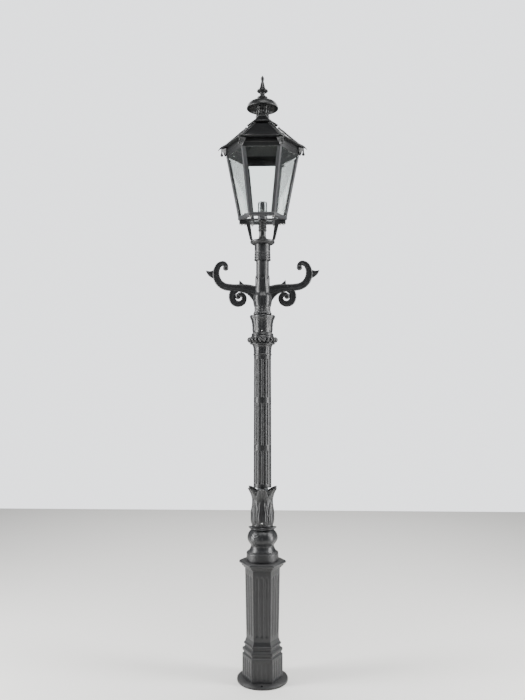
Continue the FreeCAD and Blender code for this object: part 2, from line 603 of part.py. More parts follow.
def postSection(corner):
    """Chevron with an inward rib, drawn for the corner on +X."""
    end, sheet, rib, half = "postFlange", "postSheet", "postRib", "postRibHalf"
    root = f"{corner} - {sheet} / {SLOPE} - {half} * tan(30 deg)"
    return [
        (corner, "0"), (f"{corner} - {end} / 2", f"{end} * {SLOPE}"),
        (f"{corner} - {end} / 2 - {sheet} * {SLOPE}", f"{end} * {SLOPE} - {sheet} / 2"),
        (root, half), (f"{corner} - {rib}", half), (f"{corner} - {rib}", f"-{half}"), (root, f"-{half}"),
        (f"{corner} - {end} / 2 - {sheet} * {SLOPE}", f"-{end} * {SLOPE} + {sheet} / 2"),
        (f"{corner} - {end} / 2", f"-{end} * {SLOPE}")]


def paneSection(corner, inset, thickness, margin, strip=None):
    """Rectangle behind the face that looks along -Y; inset is measured in from the face."""
    face = f"({corner}) * {SLOPE} - ({inset})"
    deep = f"{face} - ({thickness})"
    edge = f"({deep}) * tan(30 deg) - ({margin})"
    near = f"-({edge})" if strip is None else f"{edge} - ({strip})"
    return [(near, f"-({face})"), (edge, f"-({face})"), (edge, f"-({deep})"), (near, f"-({deep})")]


POST_HEAD = "eaveInner"
RIB_ROOM = "postRibHalf / cos(30 deg) + glassGap"
for index, angle in enumerate(CORNERS, start=1):
    parts[f"corner_post_{index}"] = lofted(f"corner_post_{index}", [
        ("ringTop", postSection("ringCorner")), ("fasciaFoot", postSection(POST_HEAD))], angle)
for index, angle in enumerate(CORNERS, start=1):
    inset = "postSheet + glassGap"
    parts[f"glass_pane_{index}"] = lofted(f"glass_pane_{index}", [
        ("ringTop + 0.5", paneSection("ringCorner", inset, "glassThickness", RIB_ROOM)),
        ("fasciaFoot - 0.5", paneSection(POST_HEAD, inset, "glassThickness", RIB_ROOM))], angle)


def makeBeads():
    """Two glazing beads behind each pane, stopping short of the fascia."""
    strips = []
    inset = "postSheet + glassThickness + 2 * glassGap"
    head = "eaveInner - (eaveInner - ringCorner) * 20 / glassRise"
    for angle in CORNERS:
        for side in (-1, 1):
            sides = (inset, "beadThickness", RIB_ROOM, "beadWidth")
            strip = lofted(f"bead_{angle}_{side + 1}", [
                ("ringTop", paneSection("ringCorner", *sides)),
                ("fasciaFoot - 20", paneSection(head, *sides))], angle)
            if side < 0:
                mirrored = doc.addObject("Part::Mirroring", f"bead_{angle}_mirrored")
                mirrored.Source = strip
                turn = math.radians(angle)
                mirrored.Normal = V(math.cos(turn), math.sin(turn), 0)
                strip = mirrored
            strips.append(strip)
    return group("glazing_beads", strips)


def makeFascia():
    outer = hexStack("fascia_outer", [
        ("fasciaCorner - 3", "fasciaFoot"), ("fasciaCorner - 3", "fasciaFoot + 22"),
        ("fasciaCorner", "fasciaFoot + 23"), ("fasciaCorner", "fasciaTop")])
    inner = hexStack("fascia_inner", [
        ("fasciaCorner - 3 - fasciaWall", "fasciaFoot - 1"), ("fasciaCorner - 3 - fasciaWall", "fasciaTop + 1")])
    return cut("fascia_band", outer, inner)


def corbelSection(wing, proud, nose):
    """Shield wrapped round the fascia's corner on +X: wing along each face, nose outwards."""
    seat = "fasciaCorner + 0.3"
    end, side = f"{seat} - {wing} / 2", f"{wing} * {SLOPE}"
    far, out = f"{end} + {proud} * {SLOPE}", f"{side} + {proud} / 2"
    return [(seat, "0"), (end, side), (far, out), (nose, "4"), (nose, "-4"), (far, f"-({out})"),
            (end, f"-{side}")]


def makeCorbels():
    """Pointed corbel at each corner of the fascia, widening upwards to carry the eave."""
    corbels = [lofted(f"corbel_{angle}", [
        ("fasciaFoot + 3", corbelSection("3", "3", "fasciaCorner + 7")),
        ("fasciaTop - 14", corbelSection("18", "6", "dropReach - 6")),
        ("fasciaTop - 4", corbelSection("22", "7", "dropReach + 4"))], angle) for angle in CORNERS]
    return group("eave_corbels", corbels)


def makeDropBalls():
    """Ball hanging on a short neck under the nose of each corbel."""
    balls = []
    for angle in CORNERS:
        across, along = around("dropReach - 2", angle)
        ball = doc.addObject("Part::Sphere", f"drop_sphere_{angle}")
        ball.setExpression("Radius", bound("dropBall"))
        for axis, place in zip("xyz", (across, along, "dropLevel")):
            ball.setExpression(f"Placement.Base.{axis}", bound(place))
        neck = rod(f"drop_neck_{angle}", "dropBall * 0.45", "fasciaTop - 8 - dropLevel",
                   (across, along, "dropLevel"))
        blank = joined(f"drop_blank_{angle}", ball, neck)
        balls.append(cut(f"drop_ball_{angle}", blank, parts["eave_corbels"]))
    return group("drop_balls", balls)


def makePaneClips():
    """Small clip at the foot of each pane, standing on the ring inside the glass."""
    clips = []
    for angle in CORNERS:
        deep = f"ringCorner * {SLOPE} - postSheet - glassThickness - 2 * glassGap"
        lean = f"clipHeight * (eaveInner - ringCorner) / glassRise * {SLOPE} - clipGap"
        clips.append(plate(f"pane_clip_{angle}", [
            (f"-({deep})", "ringTop"), (f"-({deep} - 9)", "ringTop"),
            (f"-({deep} + {lean})", "ringTop + clipHeight")], "12", angle, "YZ_Plane"))
    return group("pane_clips", clips)


parts["lantern_ring"] = makeRing()
parts["glazing_beads"] = makeBeads()
parts["pane_clips"] = makePaneClips()
parts["fascia_band"] = makeFascia()
parts["eave_corbels"] = makeCorbels()
parts["drop_balls"] = makeDropBalls()
parts["lamp_holder"] = turned("lamp_holder", [
    ("0", "ringTop + 12"), ("lampHolderRadius - 4", "ringTop + 12"), ("lampHolderRadius - 4", "ringTop"),
    ("lampHolderRadius", "ringTop"), ("lampHolderRadius", "ringTop + lampHolderHeight"),
    ("lampHolderRadius - 7", "ringTop + lampHolderHeight"), ("lampHolderRadius - 7", "ringTop + 30"),
    ("0", "ringTop + 30")])


# ---------------------------------------------------------------- hinged roof
ROOF_FOOT = "fasciaTop + roofGap"
HINGE_Y = "eaveTip * cos(30 deg) + 5"
HINGE_Z = "fasciaTop + roofGap + 1"


def makeRoof():
    """Hexagonal sheet roof, slightly hollow in its slope, with a flat eave and pointed tips."""
    outer = hexStack("roof_outer", [
        ("eaveCorner", ROOF_FOOT), ("eaveCorner", f"{ROOF_FOOT} + roofSheet"),
        ("eaveCorner - 60", f"{ROOF_FOOT} + 42"), ("eaveCorner - 110", f"{ROOF_FOOT} + 85"),
        ("roofHeadCorner", "roofTop")])
    inner = hexStack("roof_inner", [
        ("fasciaCorner - 2 * fasciaWall", f"{ROOF_FOOT} - 1"),
        ("fasciaCorner - 2 * fasciaWall", f"{ROOF_FOOT} + 8"),
        ("eaveCorner - 66", f"{ROOF_FOOT} + 36"), ("eaveCorner - 116", f"{ROOF_FOOT} + 79"),
        ("roofHeadCorner - 2 * roofSheet", "roofTop + 1")])
    return cut("roof_shell", outer, inner)


def makeHipRibs():
    ribs = []
    for angle in CORNERS:
        ribs.append(plate(f"hip_rib_{angle}", [
            ("eaveCorner", f"{ROOF_FOOT} - 2"), ("eaveCorner + 4", f"{ROOF_FOOT} - 3"),
            ("eaveTip", f"{ROOF_FOOT} - 11"), ("eaveCorner + 4", f"{ROOF_FOOT} + roofSheet + 5"),
            ("eaveCorner - 58", f"{ROOF_FOOT} + 49"), ("eaveCorner - 108", f"{ROOF_FOOT} + 92"),
            ("roofHeadCorner + 6", "roofTop"), ("roofHeadCorner", "roofTop"),
            ("eaveCorner - 110", f"{ROOF_FOOT} + 85"), ("eaveCorner - 60", f"{ROOF_FOOT} + 42"),
            ("eaveCorner", f"{ROOF_FOOT} + roofSheet")], "10", angle))
    return group("hip_ribs", ribs)


def makeSkirt():
    outer = hexStack("skirt_outer", [("skirtCorner", "roofTop"), ("skirtCorner", "roofTop + 6"),
                                     ("skirtHeadRadius + 4", "skirtTop - 6"), ("skirtHeadRadius + 4", "skirtTop")])
    return cut("roof_skirt", outer, rod("skirt_flue", "ventFootRadius - 6", "skirtRise + 2",
                                        ("0", "0", "roofTop - 1")))


def makeVent():
    """Chimney cup with six tall slots for the hot air."""
    cup = turned("vent_cup", [
        ("ventFootRadius - 6", "skirtTop"), ("ventFootRadius + 5", "skirtTop"),
        ("ventFootRadius", "skirtTop + 8"), ("ventFootRadius + 4", "skirtTop + 30"),
        ("ventHeadRadius", "ventTop"), ("ventHeadRadius - 6", "ventTop"),
        ("ventFootRadius - 2", "skirtTop + 32"), ("ventFootRadius - 6", "skirtTop + 10")])
    slots = [plate(f"vent_slot_{angle}", [
        ("ventFootRadius - 12", "skirtTop + 12"), ("ventHeadRadius", "skirtTop + 12"),
        ("ventHeadRadius", "skirtTop + 27"), ("ventFootRadius - 12", "skirtTop + 27")],
        "ventSlot", angle) for angle in FACES]
    return cut("vent_crown", cup, *slots)


parts["roof_shell"] = makeRoof()
parts["hip_ribs"] = makeHipRibs()
parts["roof_skirt"] = makeSkirt()
parts["vent_crown"] = makeVent()
parts["hood"] = turned("hood", [
    ("0", "hoodTop - hoodSheet - 2"), ("30 - hoodSheet", "hoodTop - hoodSheet - 2"),
    ("46", "ventTop + 24"), ("46", "ventTop"), ("52", "ventTop"), ("60", "ventTop + 10"),
    ("hoodRadius - hoodSheet - 8", "ventTop - 1"), ("hoodRadius - hoodSheet", "ventTop - 14"),
    ("hoodRadius", "ventTop - 12"), ("hoodRadius - 3", "ventTop + 3"), ("hoodRadius - 12", "ventTop + 17"),
    ("hoodRadius - 28", "ventTop + 27"), ("hoodRadius - 45", "ventTop + 34"), ("30", "hoodTop"),
    ("0", "hoodTop")])


def makeFinial():
    return turned("finial", [
        ("0", "hoodTop"), ("24", "hoodTop"), ("30", "hoodTop + 4"), ("30", "hoodTop + 11"),
        ("24", "hoodTop + 15"),
        ("14", "hoodTop + 22"), ("14", "hoodTop + 34"), ("31", "hoodTop + 45"), ("31", "hoodTop + 51"),
        ("19", "hoodTop + 56"), ("15", "hoodTop + 69"), ("12", "hoodTop + 82"), ("10", "hoodTop + 92"),
        ("7", "hoodTop + 104"), ("8", "hoodTop + 108"), ("10", "lampTop - 18"), ("7", "lampTop - 9"),
        ("2.5", "lampTop - 5"), ("0", "lampTop")])


parts["finial"] = makeFinial()


def makeRoofHinge():
    """Two butt hinges behind the rear eave, so the whole roof clears the frame as it lifts."""
    brackets, straps, pins = [], [], []
    along = FreeCAD.Rotation(V(0, 1, 0), 90)
    edge = f"eaveCorner * {SLOPE}"
    reach = "(fasciaCorner / 2 - hingeInset)"
    for index, middle in enumerate((f"-{reach}", reach)):
        span = "3 * knuckleLength + 1.2"
        bore = rod(f"roof_hinge_bore_{index}", "pinBore", f"{span} + 4",
                   (f"{middle} - ({span}) / 2 - 2", HINGE_Y, HINGE_Z), along)
        knuckles = []
        for side in (-1, 1):
            start = f"{middle} + {side} * (knuckleLength + 0.6) - knuckleLength / 2"
            knuckles.append(rod(f"bracket_knuckle_{index}_{side + 1}", "knuckleRadius", "knuckleLength",
                                (start, HINGE_Y, HINGE_Z), along))
            knuckles.append(block(f"bracket_web_{index}_{side + 1}",
                                  (start, f"{HINGE_Y} - 3", "fasciaTop - 9"),
                                  (f"{start} + knuckleLength", f"{HINGE_Y} + 3", HINGE_Z)))
        knuckles.append(block(f"bracket_leaf_{index}", (f"{middle} - ({span}) / 2", f"fasciaCorner * {SLOPE}",
                                                        "fasciaTop - 12"),
                              (f"{middle} + ({span}) / 2", f"{HINGE_Y} + 3", "fasciaTop - 8")))
        brackets.append(cut(f"roof_bracket_{index}", joined(f"bracket_blank_{index}", *knuckles), bore))
        start = f"{middle} - knuckleLength / 2"
        strap = joined(f"strap_blank_{index}",
                       rod(f"strap_knuckle_{index}", "knuckleRadius", "knuckleLength",
                           (start, HINGE_Y, HINGE_Z), along),
                       block(f"strap_leaf_{index}", (start, edge, f"{HINGE_Z} - 1"),
                             (f"{start} + knuckleLength", HINGE_Y, f"{HINGE_Z} + 3")))
        straps.append(cut(f"roof_strap_{index}", strap, bore))
        pins.append(rod(f"roof_pin_{index}", "hingePinRadius", f"{span} + 6",
                        (f"{middle} - ({span}) / 2 - 3", HINGE_Y, HINGE_Z), along))
    return (group("roof_hinge_brackets", brackets), group("roof_hinge_straps", straps),
            group("roof_hinge_pins", pins))


parts["roof_hinge_brackets"], parts["roof_hinge_straps"], parts["roof_hinge_pins"] = makeRoofHinge()


# ---------------------------------------------------------------- fixings
def grubScrews(label, angles, face, depth, level):
    """Radial set screws, their heads just proud of a round face."""
    screws = []
    for angle in angles:
        across, along = around(f"{face} - {depth}", angle)
        turn = FreeCAD.Rotation(Z_AXIS, angle) * FreeCAD.Rotation(V(0, 1, 0), 90)
        screws.append(rod(f"{label}_{angle}", "grubRadius", f"{depth} + grubProud", (across, along, level), turn))
    return screws


vaseScrews = grubScrews("vase_screw", (-90, 30, 150), "vaseFoot", "16", "saucerTop + 24")
sleeveScrews = grubScrews("sleeve_screw", (-90, 30, 150), "sleeveRadius", "16", "gadroonTop + 26")
parts["post_screws"] = group("post_screws", vaseScrews + sleeveScrews)
parts["collar_screws"] = group("collar_screws", grubScrews(
    "collar_screw", (-30, 90, 210), "lanternCollarRadius", "6", "collarFoot + 50"))


def makeRingFixings():
    """Nuts under the ring's free corners and two bolt heads under each cradle foot."""
    pieces = [rod(f"ring_nut_{angle}", "nutRadius", "nutHeight",
                  (*around("ringCorner - 15", angle), "ringFoot - nutHeight")) for angle in (60, 120, 240, 300)]
    for side in (-1, 1):
        for order, reach in enumerate(("cradleFootReach - 14", "cradleDiscRadius + 42")):
            pieces.append(rod(f"foot_bolt_{side + 1}_{order}", "boltHeadRadius", "boltHeadHeight",
                              (f"{side} * ({reach})", "0", "ringFoot - cradleFootDepth - boltHeadHeight")))
    return group("ring_fixings", pieces)


parts["ring_fixings"] = makeRingFixings()


def seat(label, host, *screws):
    """Cut the screws' own holes in the casting that holds them."""
    parts[label] = cut(label + "_drilled", host, *screws)


seat("leaf_vase", parts["leaf_vase"], *vaseScrews)
seat("bracket_sleeve", parts["bracket_sleeve"], *sleeveScrews)
seat("lantern_collar", parts["lantern_collar"], parts["collar_screws"])

# ---------------------------------------------------------------- check and export
doc.recompute()
for item in doc.Objects:
    if {"Invalid", "Error"} & set(item.State):
        raise RuntimeError(f"{item.Name} failed: {item.State}")
for node, item in parts.items():
    shape = item.Shape
    if shape.isNull() or not shape.isValid() or not shape.Solids:
        raise RuntimeError(f"{node} has no valid solid")
for node, item in parts.items():
    if item.Label != node:
        item.Label = node
    item.Shape.exportStep(f"parts/{node}.step")
    box = item.Shape.BoundBox
    print(f"{node:22s} solids {len(item.Shape.Solids):2d}  z {box.ZMin:7.1f} {box.ZMax:7.1f}  "
          f"x {box.XMin:7.1f} {box.XMax:7.1f}  y {box.YMin:7.1f} {box.YMax:7.1f}")
print(len(parts), "nodes")
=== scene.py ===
import json
import math

import bmesh
import bpy
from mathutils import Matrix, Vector


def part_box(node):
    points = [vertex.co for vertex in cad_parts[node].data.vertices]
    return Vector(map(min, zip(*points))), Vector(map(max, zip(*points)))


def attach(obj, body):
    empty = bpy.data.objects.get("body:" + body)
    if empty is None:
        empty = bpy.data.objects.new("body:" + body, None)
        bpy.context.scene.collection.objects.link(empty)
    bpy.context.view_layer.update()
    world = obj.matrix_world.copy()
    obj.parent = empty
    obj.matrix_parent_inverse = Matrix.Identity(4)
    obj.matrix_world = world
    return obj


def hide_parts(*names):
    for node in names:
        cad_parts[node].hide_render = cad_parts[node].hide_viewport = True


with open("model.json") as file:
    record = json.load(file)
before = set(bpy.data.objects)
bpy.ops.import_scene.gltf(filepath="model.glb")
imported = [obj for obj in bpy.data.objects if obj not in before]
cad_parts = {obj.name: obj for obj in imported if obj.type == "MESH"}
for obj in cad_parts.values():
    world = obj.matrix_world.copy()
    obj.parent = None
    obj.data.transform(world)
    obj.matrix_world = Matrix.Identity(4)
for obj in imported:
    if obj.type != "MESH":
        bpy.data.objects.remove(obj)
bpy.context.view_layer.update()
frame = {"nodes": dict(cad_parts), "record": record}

mm = 0.001
nodesIn = frame["nodes"]
bodyOf = {node: body for body, nodes in frame["record"]["behaviour"]["bodies"].items() for node in nodes}
print("frame loaded with", len(nodesIn), "nodes")


boxes = {node: [[v / mm for v in corner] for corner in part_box(node)] for node in nodesIn}  # in millimetres


def foot(node):
    return boxes[node][0][2]


def head(node):
    return boxes[node][1][2]


# materials
def hexColour(code):  # sRGB hex to the linear colour the shaders use
    parts = [int(code[i:i + 2], 16) / 255 for i in (1, 3, 5)]
    return [c / 12.92 if c <= 0.04045 else ((c + 0.055) / 1.055) ** 2.4 for c in parts] + [1.0]


def addNode(tree, kind, settings=None, sockets=None):  # a socket takes a value or another node's output
    node = tree.nodes.new(kind)
    for name, value in (settings or {}).items():
        setattr(node, name, value)
    for name, value in (sockets or {}).items():
        if isinstance(value, bpy.types.NodeSocket):
            tree.links.new(value, node.inputs[name])
        else:
            node.inputs[name].default_value = value
    return node


def newMaterial(name, metallic=0.0):
    material = bpy.data.materials.new(name)
    material.use_nodes = True
    tree = material.node_tree
    shader = tree.nodes["Principled BSDF"]
    shader.inputs["Metallic"].default_value = metallic
    place = addNode(tree, "ShaderNodeTexCoord").outputs["Object"]
    return material, tree, shader, place


def maths(tree, operation, *values, clamp=False):  # one sum; gives its result as a socket
    return addNode(tree, "ShaderNodeMath", {"operation": operation, "use_clamp": clamp},
                   dict(enumerate(values))).outputs[0]


def grained(tree, place, size, detail=2.0, roughness=0.5):  # noise with a grain of that many millimetres
    return addNode(tree, "ShaderNodeTexNoise", None,
                   {"Vector": place, "Scale": 1.0 / (size * mm), "Detail": detail,
                    "Roughness": roughness}).outputs["Fac"]


def cells(tree, place, size):  # round cells of that many millimetres
    return addNode(tree, "ShaderNodeTexVoronoi", {"feature": "F1"},
                   {"Vector": place, "Scale": 1.0 / (size * mm)}).outputs


def stretched(tree, place, along):  # the grain drawn out, or pressed together, up and down the piece
    return addNode(tree, "ShaderNodeMapping", None,
                   {"Vector": place, "Scale": (1.0, 1.0, along)}).outputs["Vector"]


def ranged(tree, value, low, high, fromLow=0.0, fromHigh=1.0):
    return addNode(tree, "ShaderNodeMapRange", None,
                   {"Value": value, "From Min": fromLow, "From Max": fromHigh, "To Min": low,
                    "To Max": high}).outputs["Result"]


def blended(tree, share, first, second):  # each colour is a hex code or a socket
    first, second = (hexColour(c) if isinstance(c, str) else c for c in (first, second))
    return addNode(tree, "ShaderNodeMix", {"data_type": "RGBA"}, {0: share, 6: first, 7: second}).outputs[2]


def bumped(tree, height, strength, depth, under=None):  # depth in millimetres; under is the bump below it
    sockets = {"Height": height, "Strength": strength, "Distance": depth * mm}
    if under is not None:
        sockets["Normal"] = under
    return addNode(tree, "ShaderNodeBump", None, sockets).outputs["Normal"]


def plugIn(tree, shader, colour, gloss, normal=None):
    for name, socket in (("Base Color", colour), ("Roughness", gloss), ("Normal", normal)):
        if socket is not None:
            tree.links.new(socket, shader.inputs[name])


def makeCastEnamel(name, dark, light, shine, grain, depth):
    # brushed enamel over a sand casting: grainy skin, soft runs of paint, a painted highlight that makes the
    # edges paler, dust on ledges
    material, tree, shader, place = newMaterial(name)
    clouds = grained(tree, place, 60, 4.0, 0.6)
    skin = grained(tree, place, grain, 3.0, 0.65)
    runs = grained(tree, place, 11)
    pits = cells(tree, place, grain * 4)["Distance"]
    base = blended(tree, ranged(tree, clouds, 0, 1, 0.35, 0.68), dark, light)
    rounded = addNode(tree, "ShaderNodeBevel", {"samples": 4}, {"Radius": 2.2 * mm})
    flat = addNode(tree, "ShaderNodeNewGeometry")
    bend = addNode(tree, "ShaderNodeVectorMath", {"operation": "DOT_PRODUCT"},
                   {0: rounded.outputs["Normal"], 1: flat.outputs["Normal"]}).outputs["Value"]
    # painted highlight: edges found by the rounded normal are mixed towards a paler grey so they read as lit
    paintedEdgeHighlight = maths(tree, "MULTIPLY", ranged(tree, bend, 0, 0.55, 0.985, 0.86), skin)
    upward = addNode(tree, "ShaderNodeSeparateXYZ", None,
                     {0: addNode(tree, "ShaderNodeTexCoord").outputs["Normal"]}).outputs["Z"]
    dust = maths(tree, "MULTIPLY", ranged(tree, upward, 0, 0.12, 0.6, 1.0), clouds)
    colour = blended(tree, dust, blended(tree, paintedEdgeHighlight, base, "#3f4042"), "#6f6d68")
    gloss = maths(tree, "ADD", ranged(tree, runs, shine - 0.06, shine + 0.08, 0.3, 0.7), dust, clamp=True)
    wavy = bumped(tree, runs, 0.2, depth * 2.4)
    pitted = bumped(tree, pits, 0.1, depth, wavy)
    plugIn(tree, shader, colour, gloss, bumped(tree, skin, 0.2, depth, pitted))
    shader.inputs["Coat Weight"].default_value = 0.12
    shader.inputs["Coat Roughness"].default_value = 0.3
    return material


def makePowderCoat(name, dark, light):
    # sprayed powder melted on: even satin skin with a 2.5 mm orange peel and faint rain streaks
    material, tree, shader, place = newMaterial(name)
    peel = grained(tree, place, 2.5, 1.0, 0.4)
    clouds = grained(tree, place, 90, 3.0)
    streaks = grained(tree, stretched(tree, place, 0.12), 9, 3.0)
    base = blended(tree, clouds, dark, light)
    colour = blended(tree, ranged(tree, streaks, 0, 0.22, 0.52, 0.75), base, "#3a3a39")
    plugIn(tree, shader, colour, ranged(tree, clouds, 0.32, 0.46), bumped(tree, peel, 0.3, 0.15))
    return material


def makeGlass():
    # clear float glass: the light goes straight through, with a sheen at a slant and a thin film of dust
    material, tree, shader, place = newMaterial("clear float glass")
    dust = ranged(tree, grained(tree, place, 45, 4.0), 0, 0.012, 0.45, 0.8)
    sheen = maths(tree, "MULTIPLY", addNode(tree, "ShaderNodeFresnel", None, {"IOR": 1.45}).outputs[0], 0.4)
    clear = addNode(tree, "ShaderNodeBsdfTransparent", None, {"Color": hexColour("#fbfdfc")})
    gleam = addNode(tree, "ShaderNodeBsdfAnisotropic", None, {"Color": hexColour("#ffffff"),
                                                              "Roughness": 0.05})
    bare = addNode(tree, "ShaderNodeMixShader", None, {0: sheen, 1: clear.outputs[0], 2: gleam.outputs[0]})
    dusty = addNode(tree, "ShaderNodeMixShader", None, {0: dust, 1: bare.outputs[0], 2: shader.outputs[0]})
    tree.links.new(dusty.outputs[0], tree.nodes["Material Output"].inputs["Surface"])
    shader.inputs["Base Color"].default_value = hexColour("#a9aba9")
    shader.inputs["Roughness"].default_value = 0.8
    return material


def makeTurnedSteel():
    # turned stainless: bright, with a fine grain left by the tool, drawn 0.6 mm apart
    material, tree, shader, place = newMaterial("turned stainless steel", 1.0)
    marks = grained(tree, place, 0.6)
    plugIn(tree, shader, blended(tree, marks, "#b4b4b2", "#dcdcda"), ranged(tree, marks, 0.18, 0.4),
           bumped(tree, marks, 0.2, 0.05))
    return material


def makeGalvanised():
    # hot-dip zinc: dull grey with crystal spangles about 8 mm wide
    material, tree, shader, place = newMaterial("hot-dip galvanised steel", 1.0)
    spangle = addNode(tree, "ShaderNodeSeparateColor", None, {0: cells(tree, place, 8)["Color"]}).outputs[0]
    bloom = grained(tree, place, 20, 5.0)
    plugIn(tree, shader, blended(tree, spangle, "#8e9194", "#b6b9bb"), ranged(tree, bloom, 0.32, 0.62))
    return material


def makeMoulded(name, dark, light, shine, texture):
    # injection-moulded plastic: even colour, a fine spark-eroded texture
    material, tree, shader, place = newMaterial(name)
    etch = grained(tree, place, texture)
    cloud = grained(tree, place, 30)
    plugIn(tree, shader, blended(tree, cloud, dark, light), ranged(tree, etch, shine - 0.08, shine + 0.1),
           bumped(tree, etch, 0.25, 0.08))
    return material


def makeSatinAlloy():
    # satin aluminium shell of the lamp holder: brushed grey, a little uneven
    material, tree, shader, place = newMaterial("satin aluminium", 1.0)
    brushed = grained(tree, stretched(tree, place, 6.0), 4, 3.0)
    plugIn(tree, shader, blended(tree, brushed, "#56585a", "#77797b"), ranged(tree, brushed, 0.24, 0.4))
    return material


# real sand grain is about 0.5 mm; it is drawn at 1.5 mm so that it shows
castEnamel = makeCastEnamel("black enamel on sand-cast iron", "#111214", "#1a1b1d", 0.44, 1.5, 0.35)
fineEnamel = makeCastEnamel("black enamel on fine cast ornament", "#121315", "#1c1d1f", 0.38, 1.2, 0.25)
powderCoat = makePowderCoat("black powder coat on steel sheet", "#101112", "#191a1b")
# painted highlight: the posts, ring and beads get a lighter copy of the black lantern paint that the fascia
# wears, standing in for the highlights they catch
frameCoat = makePowderCoat("black powder coat on aluminium bar, painted lighter as lit", "#2c2d2f", "#3d3e40")
floatGlass = makeGlass()
turnedSteel = makeTurnedSteel()
galvanised = makeGalvanised()
satinAlloy = makeSatinAlloy()
greyPlastic = makeMoulded("grey moulded polycarbonate", "#7d7f81", "#949698", 0.42, 0.8)
blackPlastic = makeMoulded("black moulded polyamide", "#141415", "#1f2021", 0.4, 0.8)
cableRubber = makeMoulded("extruded black rubber sheath", "#161616", "#222222", 0.55, 1.2)
print("materials ready")


# making pieces
def addPiece(name, source, material, node=None, body=None, crease=35):
    # source is a bmesh in metres; the piece takes the place of the CAD node of that name
    bmesh.ops.recalc_face_normals(source, faces=source.faces)
    mesh = bpy.data.meshes.new(name)
    source.to_mesh(mesh)
    source.free()
    mesh.shade_smooth()
    mesh.set_sharp_from_angle(angle=math.radians(crease))
    mesh.materials.clear()
    mesh.materials.append(material)
    piece = bpy.data.objects.new(name, mesh)
    bpy.context.collection.objects.link(piece)
    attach(piece, body or bodyOf[node])
    if node:
        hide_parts(node)
    return piece


def evaluated(mesh, setUp):  # a plain mesh after the modifiers that setUp adds
    carrier = bpy.data.objects.new("carrier", mesh)
    bpy.context.collection.objects.link(carrier)
    setUp(carrier)
    graph = bpy.context.evaluated_depsgraph_get()
    result = bpy.data.meshes.new_from_object(carrier.evaluated_get(graph))
    bpy.data.objects.remove(carrier)
    return result


def bevelled(node, width, segments=2):  # the CAD node's own shape, merged, with soft arrises
    source = bmesh.new()
    source.from_mesh(nodesIn[node].data)
    bmesh.ops.remove_doubles(source, verts=source.verts, dist=0.01 * mm)
    bmesh.ops.dissolve_limit(source, angle_limit=math.radians(0.8), verts=source.verts, edges=source.edges)
    mesh = bpy.data.meshes.new(node + " blank")
    source.to_mesh(mesh)
    source.free()

    def soften(carrier):
        soft = carrier.modifiers.new("soft", "BEVEL")
        soft.width = width * mm
        soft.segments = segments
        soft.limit_method = "ANGLE"
        soft.angle_limit = math.radians(28)
        soft.use_clamp_overlap = True

    result = bmesh.new()
    result.from_mesh(evaluated(mesh, soften))
    return result


def soften(node, width, material, slotName="casting", crease=35):
    return addPiece(node + ".soft", bevelled(node, width), material, node, None, crease)


def skin(shape, rings, loop=True):
    # quads between rings of equal length; a loop joins the last ring to the first
    rows = [[shape.verts.new([v * mm for v in spot]) for spot in ring] for ring in rings]
    pairs = list(zip(rows, rows[1:]))
    if loop:
        pairs.append((rows[-1], rows[0]))
    for low, high in pairs:
        for i in range(len(low)):
            j = (i + 1) % len(low)
            shape.faces.new((low[i], low[j], high[j], high[i]))
    if not loop:
        shape.faces.new(rows[0][::-1])
        shape.faces.new(rows[-1])
    return shape


def softLine(points, soft=2.0, step=0.0, turns=4):
    # a line through the points with its corners rounded, cut into steps where asked
    line = [Vector(points[0])]
    for before, here, after in zip(points, points[1:], points[2:]):
        before, here, after = Vector(before), Vector(here), Vector(after)
        reach = min(soft, (here - before).length * 0.48, (after - here).length * 0.48)
        start = here + (before - here).normalized() * reach
        end = here + (after - here).normalized() * reach
        for turn in range(turns + 1):
            t = turn / turns
            line.append(start * (1 - t) ** 2 + here * 2 * t * (1 - t) + end * t * t)
    line.append(Vector(points[-1]))
    if not step:
        return line
    cut = [line[0]]
    for low, high in zip(line, line[1:]):
        count = max(1, round((high - low).length / step))
        cut += [low.lerp(high, n / count) for n in range(1, count + 1)]
    return cut


def turnedRings(profile, sides, relief=None, bore=None):
    # a turned skin; relief gives the push (outwards, upwards) at an angle, a radius and a level
    rings = []
    for radius, level in profile:
        ring = []
        for k in range(sides):
            turn = 2 * math.pi * k / sides
            out, up = relief(turn, radius, level) if relief else (0, 0)
            ring.append(((radius + out) * math.cos(turn), (radius + out) * math.sin(turn), level + up))
        rings.append(ring)
    if bore:
        for level in (profile[-1][1], profile[0][1]):
            rings.append([(bore * math.cos(2 * math.pi * k / sides), bore * math.sin(2 * math.pi * k / sides),
                           level) for k in range(sides)])
    return rings


def hexRing(corner, level, across=(-1, 1), push=None, soft=1.2):
    # one ring of a hexagon with softened arrises; across are the shares of each side that get a point
    ring = []
    flat, half = corner * math.cos(math.pi / 6), corner / 2
    for side in range(6):
        turn = math.radians(30 + 60 * side)
        out, along = Vector((math.cos(turn), math.sin(turn))), Vector((-math.sin(turn), math.cos(turn)))
        for share in across:
            reach = share * (half - soft)
            lift = push(side, reach, level, half) if push else 0
            spot = out * (flat + lift) + along * reach
            ring.append((spot.x, spot.y, level))
        turn = math.radians(60 + 60 * side)
        lift = push(side, half, level, half) if push else 0
        spot = Vector((math.cos(turn), math.sin(turn))) * (corner - soft * 0.35 + lift)
        ring.append((spot.x, spot.y, level))
    return ring


def trough(across, level, centre, low, high, half, deep):
    # how deep a round-ended flute is at one spot
    over = max(0.0, low + half - level, level - high + half)
    reach = math.hypot(across - centre, over) / half
    return -deep * math.sqrt(1 - reach * reach) if reach < 1 else 0.0


def smooth(value, low, high):
    t = min(1.0, max(0.0, (value - low) / (high - low)))
    return t * t * (3 - 2 * t)


def spread(low, high, count):
    return [low + (high - low) * n / (count - 1) for n in range(count)]


